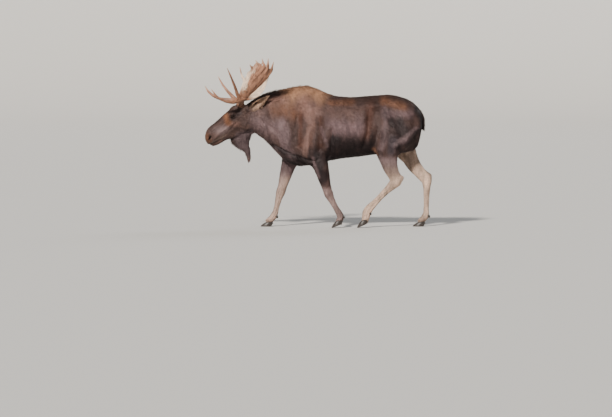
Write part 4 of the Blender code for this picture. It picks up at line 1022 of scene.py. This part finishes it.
iris = ramp(tree, noise(tree, gaze, 9.0, 4.0), (0.0, (0.006, 0.003, 0.002)), (1.0, (0.03, 0.013, 0.006)))
rim = ramp(tree, gaze_length((1.0, 1.0, 0.0)), (0.62, (1, 1, 1)), (0.8, (0.12, 0.09, 0.08)))
pupil = ramp(tree, gaze_length((1.75, 3.6, 0.0)), (0.9, (0.03, 0.03, 0.03)), (1.0, (1, 1, 1)))
ringed = maths(tree, "MULTIPLY", iris, rim, kind="VectorMath")
seeing = maths(tree, "MULTIPLY", ringed, pupil, kind="VectorMath")
wired(tree, shader, Base_Color=seeing, Roughness=0.06, Specular_IOR_Level=0.14)

LASHES = 90
for name, side in SIDES.items():
    axes = np.array((HEAD_FORWARD, HEAD_UP, side * HEAD_LEFT))
    centre = EYE_CENTRES[name]
    bulge = 1 + 0.045 * hill(np.linspace(0.01, np.pi - 0.01, 40) / 0.55)  # the cornea stands out a little
    rounded = ball(40, 48, 0.01) * bulge[:, None, None]
    ball_points, ball_triangles = shell(centre + EYE_RADIUS * rounded @ axes)
    eye = made("eye_ball_" + name, ball_points, ball_triangles)
    traced(eye, "gaze", (ball_points - centre) @ axes.T / EYE_RADIUS)
    eye.data.materials.append(eye_material)
    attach(eye, "root")
    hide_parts("eye_" + name)

    # lashes stand out from the edge of the upper lid, longest in the middle, and curl up
    turn = np.sort(draw.uniform(0.12, 0.88, LASHES)) * np.pi
    tilt = np.stack([np.radians(61) * np.cos(turn), np.radians(33) * np.sin(turn)], -1)
    reach = np.linalg.norm(tilt, axis=1, keepdims=True)
    out = np.cos(reach) * axes[2] + np.sin(reach) * (tilt / reach) @ axes[:2]
    roots = centre + (EYE_RADIUS + 0.002) * out
    long = (0.01 + 0.009 * np.sin(turn) + 0.004 * draw.random(LASHES))[:, None]
    away = unit(out + (0.2 * np.cos(turn) + 0.1 * draw.normal(size=LASHES))[:, None] * axes[0])
    t = np.array((0.0, 0.5, 1.0))[:, None]
    spines = roots[:, None] + long[:, None] * (away[:, None] * t + axes[1] * (0.55 * t**2 - 0.12 * t))
    sides = np.cross(away, axes[1])[:, None] * np.array((0.0005, 0.0004))[:, None]
    places = np.column_stack([np.linspace(0.1, 0.9, LASHES), np.full(LASHES, 0.5)])
    ribbons("lashes_" + name, spines, sides, places, np.full((LASHES, 3, 3), 0.01))

# ---------------------------------------------------------------------------------------------------
# Antlers: hard polished bone, cast and grown new each year. Each has a burr, a short beam, a brow fork
# of two long tines and a palm with points along its rim. Channels where blood once ran spread from the
# fork, and the points are rubbed pale.
# ---------------------------------------------------------------------------------------------------
BEAM = [  # forward, up and out from the poll, and the radius
    (0.02, -0.075, 0.045, 0.026), (0.03, -0.01, 0.08, 0.029),
    (0.03, 0.035, 0.13, 0.029), (0.01, 0.085, 0.19, 0.031),
]
BURR, BURR_RADII = (0.03, -0.014, 0.078), (0.045, 0.013, 0.043)
BURR_AXES = ((1, 0, 0), (0, 0.8, 0.6), (0, -0.6, 0.8))
BROW_FORK = [(0.03, 0.04, 0.14, 0.03), (0.07, 0.048, 0.165, 0.031), (0.12, 0.055, 0.195, 0.022)]
TINE_RADII = (0.023, 0.022, 0.018, 0.014, 0.005)
POINT_RADII = (0.014, 0.018, 0.012, 0.005)
PALM_ROWS, PALM_ALONG, PALM_ACROSS = 121, 40, 33  # places along its curve, rings, and corners to a side
PALM_THICKNESS = (0.036, 0.026, 0.019, 0.016, 0.014, 0.011)
PALM_TRAY = (0.004, 0.018, 0.036, 0.05, 0.05, 0.042)  # how far its edges curl inwards
ANTLERS = {  # points are forward, up and out from the poll; a palm's points stand along and across it
    "left": {
        "lower": [
            (0.08, 0.032, 0.17), (0.17, 0.026, 0.21), (0.256, 0.042, 0.235),
            (0.354, 0.092, 0.262), (0.429, 0.187, 0.285),
        ],
        "upper": [
            (0.05, 0.045, 0.16), (0.095, 0.12, 0.205), (0.13, 0.205, 0.262),
            (0.178, 0.3, 0.34), (0.253, 0.446, 0.44),
        ],
        "palm": [
            (0.02, 0.06, 0.16, 0.038), (0.002, 0.12, 0.222, 0.06), (-0.044, 0.198, 0.3, 0.088),
            (-0.102, 0.288, 0.375, 0.11), (-0.156, 0.374, 0.426, 0.12), (-0.2, 0.46, 0.474, 0.108),
        ],
        "across": (-0.9, -0.43, 0.0),
        "points": [
            (0.8, -0.97, (-0.026, 0.488, 0.43)), (0.97, -0.5, (-0.092, 0.54, 0.465)),
            (1.0, -0.02, (-0.17, 0.562, 0.485)), (1.0, 0.46, (-0.245, 0.565, 0.5)),
            (0.93, 0.95, (-0.312, 0.525, 0.505)),
        ],
    },
    "right": {
        "lower": [
            (0.08, 0.045, 0.17), (0.19, 0.05, 0.22), (0.3, 0.078, 0.255),
            (0.389, 0.145, 0.28), (0.436, 0.222, 0.3),
        ],
        "upper": [
            (0.06, 0.05, 0.165), (0.105, 0.095, 0.21), (0.15, 0.15, 0.26),
            (0.208, 0.235, 0.33), (0.259, 0.341, 0.4),
        ],
        "palm": [
            (0.01, 0.055, 0.16, 0.038), (-0.056, 0.092, 0.222, 0.088), (-0.13, 0.165, 0.3, 0.135),
            (-0.196, 0.252, 0.375, 0.142), (-0.246, 0.34, 0.43, 0.13), (-0.288, 0.415, 0.46, 0.108),
        ],
        "across": (-0.79, -0.61, 0.0),
        "points": [
            (0.45, -0.95, (-0.022, 0.456, 0.44)), (0.66, -0.97, (-0.148, 0.4, 0.465)),
            (0.92, -0.85, (-0.238, 0.492, 0.48)), (1.0, -0.25, (-0.315, 0.515, 0.49)),
            (1.0, 0.35, (-0.375, 0.49, 0.495)), (0.9, 0.95, (-0.415, 0.415, 0.485)),
        ],
    },
}


OFF_COURSE = (0.31, 0.93, 0.2)  # a direction that no horn runs along


def horn(rows, steps=24, sides=18):
    """A round tapering horn: circles square to a curve, whose rows give a point and a radius."""
    rows = smooth_rows(rows, steps)
    along = unit(np.gradient(rows[:, :3], axis=0))
    first_side = unit(np.cross(along, OFF_COURSE))
    second_side = np.cross(along, first_side)
    turn = once_round(sides)[:, None]
    rings = np.cos(turn) * first_side[:, None] + np.sin(turn) * second_side[:, None]
    return shell(rows[:, None, :3] + rows[:, None, 3:4] * rings)


def side_horn(rows, side, **settings):
    rows = np.asarray(rows, float)
    return horn(np.column_stack([from_poll(rows[:, :3], side), rows[:, 3]]), **settings)


def palm_grid(shape, along, across):
    """Middle points, inward normals and thickness of a palm, at places along it and across it."""
    rows = smooth_rows(np.column_stack([shape["palm"], PALM_THICKNESS, PALM_TRAY]), PALM_ROWS)
    steps = np.linspace(0, 1, PALM_ROWS)
    at = np.array([np.interp(along, steps, column) for column in rows.T]).T
    run = unit(np.array([np.interp(along, steps, column) for column in np.gradient(rows[:, :3], axis=0).T]).T)
    rearward = unit(np.array(shape["across"]))
    inward = unit(np.cross(np.broadcast_to(rearward, run.shape), run))
    flat = at[:, :3] + (at[:, 3] * across)[:, None] * rearward
    return flat + (at[:, 5] * across**2)[:, None] * inward, inward, at[:, 4]


def palm(shape, side):
    """A thick sheet, rounded at its edges and hollowed like a tray towards the middle of the head."""
    across = np.sin(np.linspace(-np.pi / 2, np.pi / 2, PALM_ACROSS))
    rings = []
    for along in np.linspace(0, 1, PALM_ALONG):
        middle, inward, thick = palm_grid(shape, np.full(PALM_ACROSS, along), across)
        half = (0.5 * thick * np.sqrt(np.maximum(1 - across**4, 0.12)))[:, None]
        rings.append(from_poll(np.vstack([middle + half * inward, (middle - half * inward)[::-1]]), side))
    return shell(np.array(rings))


def palm_point(shape, side, along, across, tip):
    """A point that grows out of the palm's rim and bends a little inwards at its tip."""
    (root, rim), inward, _ = palm_grid(
        shape, np.array((along - 0.16, along)), np.array((across * 0.84, across * 0.97))
    )
    middle = 0.5 * (rim + tip) - 0.06 * np.linalg.norm(rim - tip) * inward[1]
    return side_horn(np.column_stack([[root, rim, middle, tip], POINT_RADII]), side)


antler_material, tree, shader = surface("antler")


def mapped(value, low, high, to_low, to_high):
    """A number from `low` to `high` as one from `to_low` to `to_high`."""
    ends = {"From_Min": low, "From_Max": high, "To_Min": to_low, "To_Max": to_high}
    return node(tree, "MapRange", Value=value, **ends)[0]


ribbed = noise(tree, kept(tree, "channels", "Vector"), 26.0, 5.0, 0.62)
pores = noise(tree, node(tree, "TexCoord")["Object"], 420.0, 2.0)
wired(
    tree,
    shader,
    Base_Color=dimmed(tree, kept(tree, "bone", "Color"), mapped(ribbed, 0.32, 0.64, 0.62, 1.18)),
    Normal=relief(tree, maths(tree, "MULTIPLY_ADD", pores, 0.25, ribbed), 0.003, 0.9),
    Roughness=mapped(ribbed, 0.3, 0.7, 0.62, 0.34),
    Specular_IOR_Level=0.4,
)

BONE_DARK, BONE_TAN, BONE_PINK, BONE_CREAM = np.array(
    ((0.085, 0.038, 0.022), (0.3, 0.142, 0.082), (0.43, 0.21, 0.132), (0.83, 0.64, 0.48))
)
ANTLER_VOXEL = 0.0034

for name, side in SIDES.items():
    shape = ANTLERS[name]
    tines = [np.column_stack([shape[word], TINE_RADII]) for word in ("lower", "upper")]
    shells = [side_horn(BEAM, side), side_horn(BROW_FORK, side), palm(shape, side)]
    shells += [side_horn(tine, side, steps=44) for tine in tines]
    shells += [palm_point(shape, side, *point) for point in shape["points"]]
    shells.append(egg(from_poll([BURR], side)[0], BURR_RADII, heading(BURR_AXES, side)))
    bone, bone_faces = fused(shells, ANTLER_VOXEL)
    bone = relaxed(bone, bone_faces, 4, np.full(len(bone), 0.5))
    bone_normals = facing(bone, bone_faces)
    fork = from_poll([(0.01, 0.03, 0.12)], side)[0]
    reach = np.linalg.norm(bone - fork, axis=1)
    from_fork = np.hstack([unit(bone - fork), reach[:, None]])
    channel_place = from_fork @ np.vstack([np.eye(3), (0.13, 0.13, 0.13)])
    burr_away = np.linalg.norm(bone - from_poll([BURR], side)[0], axis=1)
    tips = np.array([tine[-1][:3] for tine in tines] + [point[2] for point in shape["points"]])
    tip_away = np.min(np.linalg.norm(bone[:, None] - from_poll(tips, side)[None], axis=2), axis=1)
    worn = step(0.11, 0.01, tip_away)
    pointed = step(0.15, 0.06, tip_away)
    channels = mottle(channel_place, 0.046, 7) + 0.6 * mottle(channel_place, 0.02, 8) - 0.8
    pearls = mottle(bone, 0.01, 17) + 0.5 * mottle(bone, 0.005, 18) - 0.5
    at_burr = step(0.066, 0.044, burr_away)
    rise = 0.005 * channels * (1 - worn) * (1 - at_burr) + 0.01 * pearls * at_burr
    bone = bone + rise[:, None] * bone_normals
    bone_normals = facing(bone, bone_faces)
    inner = -bone_normals @ heading((0, 0, 1), side) + 0.35 * bone_normals[:, 2]
    palmed = step(0.12, 0.24, reach) * step(0.07, 0.02, (bone - POLL) @ HEAD_LEVEL)
    tint = np.tile(BONE_TAN, (len(bone), 1))
    tint = painted(tint, BONE_PINK, 0.7 * mottle(bone, 0.06, 23) + 0.4 * step(0.1, 0.5, reach) - 0.2)
    # dark stain in the channels, and darker bone round the fork by the head, partly painted shade
    stain_and_shade = 0.7 * step(0.15, -0.3, channels) * (1 - worn) + 0.5 * step(0.1, 0.05, reach)
    tint = painted(tint, BONE_DARK, stain_and_shade)
    edge = from_poll(palm_grid(shape, np.linspace(0.2, 1.0, 24), np.full(24, -0.86))[0], side)
    edge_away = np.min(np.linalg.norm(bone[:, None] - edge[None], axis=2), axis=1) + 0.04 * (channels + 0.1)
    # painted sunlight: cream on the palms' inner and upper faces and along their front rims; the worn tips
    # are rubbed pale as well
    sunned = np.maximum(step(0.05, 0.55, inner), step(0.05, 0.022, edge_away))
    pale = np.maximum(0.92 * sunned * palmed * (1 - 0.85 * pointed), 0.4 * worn**3)
    tint = painted(tint, BONE_CREAM, pale)
    tint = painted(tint, BONE_DARK, 0.75 * at_burr * step(0.1, -0.1, pearls))
    antler = made("antler_" + name, bone, bone_faces)
    coloured(antler, "bone", tint)
    traced(antler, "channels", channel_place)
    antler.data.materials.append(antler_material)
    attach(antler, "root")
    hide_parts(*(f"antler_{name}_{part}" for part in ("beam", "palm", "lower_tine", "upper_tine")))

# ---------------------------------------------------------------------------------------------------
# Hooves: two pointed claws of black horn to each foot, with rings of growth round their walls, and two
# small dewclaws behind the fetlock. The lifted feet stand on the tips of their toes.
# ---------------------------------------------------------------------------------------------------
CLAW_LENGTH, CLAW_WIDTH, CLAW_HEIGHT = 0.125, 0.052, 0.062
HEEL_RINGS = 5
TOE_SINK = 0.004
FEET = {  # x of the toes, y outwards, degrees that the heel is raised
    "left_fore": (0.168, 0.149, 22),
    "right_fore": (-0.715, 0.141, 0),
    "left_hind": (0.482, 0.145, 24),
    "right_hind": (1.18, 0.145, 0),
}

horn_material, tree, shader = surface("hoof_horn")
rings = noise(tree, kept(tree, "growth", "Vector"), 60.0, 3.0, 0.55)
hue = ramp(tree, rings, (0.32, (0.01, 0.008, 0.008)), (0.72, (0.065, 0.05, 0.042)))
wired(tree, shader, Base_Color=hue, Normal=relief(tree, rings, 0.0022, 0.8), Roughness=0.42)


def claw(inner):
    """Half of a cloven hoof: a rounded heel, then superellipse arches over a sole, closing at the toe."""
    opened = np.linspace(0.15, np.pi / 2, HEEL_RINGS + 1)[:-1, None]
    heel = 1 - np.cos(opened)  # how far each ring of the heel has opened
    t = np.vstack([np.zeros((HEEL_RINGS, 1)), np.linspace(0, 1, 26)[:, None]])
    angle = np.linspace(0, np.pi, 22)
    width = CLAW_WIDTH * (0.62 + 0.38 * np.sin(np.pi * np.minimum(t * 0.9 + 0.18, 1))) * (1 - t**4) ** 0.5
    width = np.maximum(width, 0.008)
    height = CLAW_HEIGHT * (0.8 + 0.3 * t) * (1 - t**2.4) + 0.01
    side = width * 0.5 * np.sign(np.cos(angle)) * np.abs(np.cos(angle)) ** (2 / 2.6)
    rise = height * np.sin(angle) ** (2 / 2.4)
    back = -CLAW_LENGTH * t + 0.02 * (1 - t) * rise / CLAW_HEIGHT + 0.35 * rise * t
    size = np.sqrt(1 - (1 - heel) ** 2)
    ends = slice(HEEL_RINGS)
    side[ends] *= 0.25 + 0.75 * size
    rise[ends] = rise[ends] * (0.3 + 0.7 * size) + 0.25 * height[ends] * (1 - size)
    back[ends] += 0.011 * (1 - heel)
    return np.stack([back, side + inner * (0.003 + width * 0.5), rise], axis=-1)


def turned(degrees, axis):
    """A rotation about Y or Z, as rows to multiply by."""
    c, s = np.cos(np.radians(degrees)), np.sin(np.radians(degrees))
    return np.array(((c, 0, -s), (0, 1, 0), (s, 0, c)) if axis == "Y" else ((c, s, 0), (-s, c, 0), (0, 0, 1)))


for foot_name, (toe, outward, raised) in FEET.items():
    side = -1 if "left" in foot_name else 1
    for inner, word in ((-1, "outer" if side < 0 else "inner"), (1, "inner" if side < 0 else "outer")):
        plain = claw(inner)
        heel = CLAW_LENGTH * np.sin(np.radians(raised)) - (TOE_SINK if raised else 0)
        placed = plain.reshape(-1, 3) @ turned(-5 * inner, "Z") @ turned(-raised, "Y")
        placed = placed + (toe + CLAW_LENGTH * np.cos(np.radians(raised)), side * outward, heel)
        shift = np.mean(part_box(f"{foot_name}_claw_{word}"), axis=0) - 0.5 * (placed.min(0) + placed.max(0))
        placed = placed + (shift[0], shift[1], 0)
        placed[:, 2] = np.maximum(placed[:, 2], 0)
        corners, faces = shell(placed.reshape(plain.shape))
        hoof = made(f"hoof_{foot_name}_{word}", corners, faces)
        ends = np.vstack([plain.reshape(-1, 3), plain[0].mean(0), plain[-1].mean(0)])
        traced(hoof, "growth", ends @ np.array(((3.2, 0, 0), (0, 0.35, 0), (1.6, 0, 0.9))))
        hoof.data.materials.append(horn_material)
        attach(hoof, "root")
        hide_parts(f"{foot_name}_claw_{word}")
    for word in ("left", "right"):
        low, high = (np.array(corner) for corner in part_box(f"{foot_name}_dewclaw_{word}"))
        out = -1 if word == "left" else 1
        middle = 0.5 * (low[1] + high[1])
        root_end = np.array((low[0] + 0.006, middle - out * 0.006, high[2] - 0.012))
        bend = root_end + (0.018, out * 0.004, -0.014)
        tip = root_end + (0.024, out * 0.006, -0.034)
        path = np.column_stack([[root_end, bend, tip], (0.012, 0.0135, 0.006)])
        corners, faces = horn(path, steps=16, sides=18)
        dewclaw = made(f"dewclaw_{foot_name}_{word}", corners, faces)
        traced(dewclaw, "growth", corners * (1.2, 0.4, 3.0))
        dewclaw.data.materials.append(horn_material)
        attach(dewclaw, "root")
        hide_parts(f"{foot_name}_dewclaw_{word}")

# ---------------------------------------------------------------------------------------------------
# Studio: a pale floor that curves up into a wall all the way round, a soft sun from the upper left in
# front, and a camera a long way off to the moose's left.
# ---------------------------------------------------------------------------------------------------
BOWL_FLAT, BOWL_RISE = 60.0, 30.0
arc = np.linspace(0, np.pi / 2.2, 14)
outline = [(1.0, 0.0), (8.0, 0.0), (25.0, 0.0), (BOWL_FLAT, 0.0)]
outline += [(BOWL_FLAT + BOWL_RISE * np.sin(a), BOWL_RISE * (1 - np.cos(a))) for a in arc[1:]]
radius, rise = np.array(outline).T[..., None]
turn = once_round(96)
bowl = np.stack([radius * np.cos(turn), radius * np.sin(turn), rise + 0 * turn], -1)
rows, count, _ = bowl.shape
floor_faces = np.vstack([woven(rows, count, rows - 1), fanned(rows * count, np.arange(count))])
floor = made("floor", np.vstack([bowl.reshape(-1, 3), (0, 0, 0)]), floor_faces[:, (0, 2, 1)])
floor_material, tree, shader = surface("floor")
wired(tree, shader, Base_Color=(0.56, 0.55, 0.53, 1), Roughness=0.9)
floor.data.materials.append(floor_material)

world = bpy.data.worlds.new("studio")
bpy.context.scene.world = world
world.use_nodes = True
tree = world.node_tree
wired(tree, tree.nodes["Background"], Color=(0.95, 0.97, 1.0, 1), Strength=0.36)


def aimed(thing, place, target):
    """Puts a lamp or camera at a place and turns its -Z towards the target."""
    thing.location = place
    thing.rotation_euler = (Vector(target) - Vector(place)).to_track_quat("-Z", "Y").to_euler()
    bpy.context.scene.collection.objects.link(thing)


sun = bpy.data.lights.new("key", "SUN")
sun.energy, sun.angle, sun.color = 5.8, np.radians(6), (1.0, 0.94, 0.86)
aimed(bpy.data.objects.new("key", sun), (-4.0, -8.0, 7.2), (0, 0, 1))
rim_light = bpy.data.lights.new("rim", "SUN")
rim_light.energy, rim_light.angle, rim_light.color = 0.8, np.radians(25), (0.9, 0.95, 1.0)
aimed(bpy.data.objects.new("rim", rim_light), (5.0, 6.0, 6.0), (0, 0, 1))

VIEW_WIDTH, VIEW_DISTANCE, VIEW_RISE = 7.589, 35.0, np.radians(3)  # metres across, metres off, radians up
target = np.array((-0.156, 0.0, 0.23))
lens = bpy.data.cameras.new("camera")
lens.lens = lens.sensor_width * VIEW_DISTANCE / VIEW_WIDTH
lens.clip_end = 400
camera = bpy.data.objects.new("camera", lens)
aimed(camera, target + VIEW_DISTANCE * np.array((0, -np.cos(VIEW_RISE), np.sin(VIEW_RISE))), target)
bpy.context.scene.camera = camera
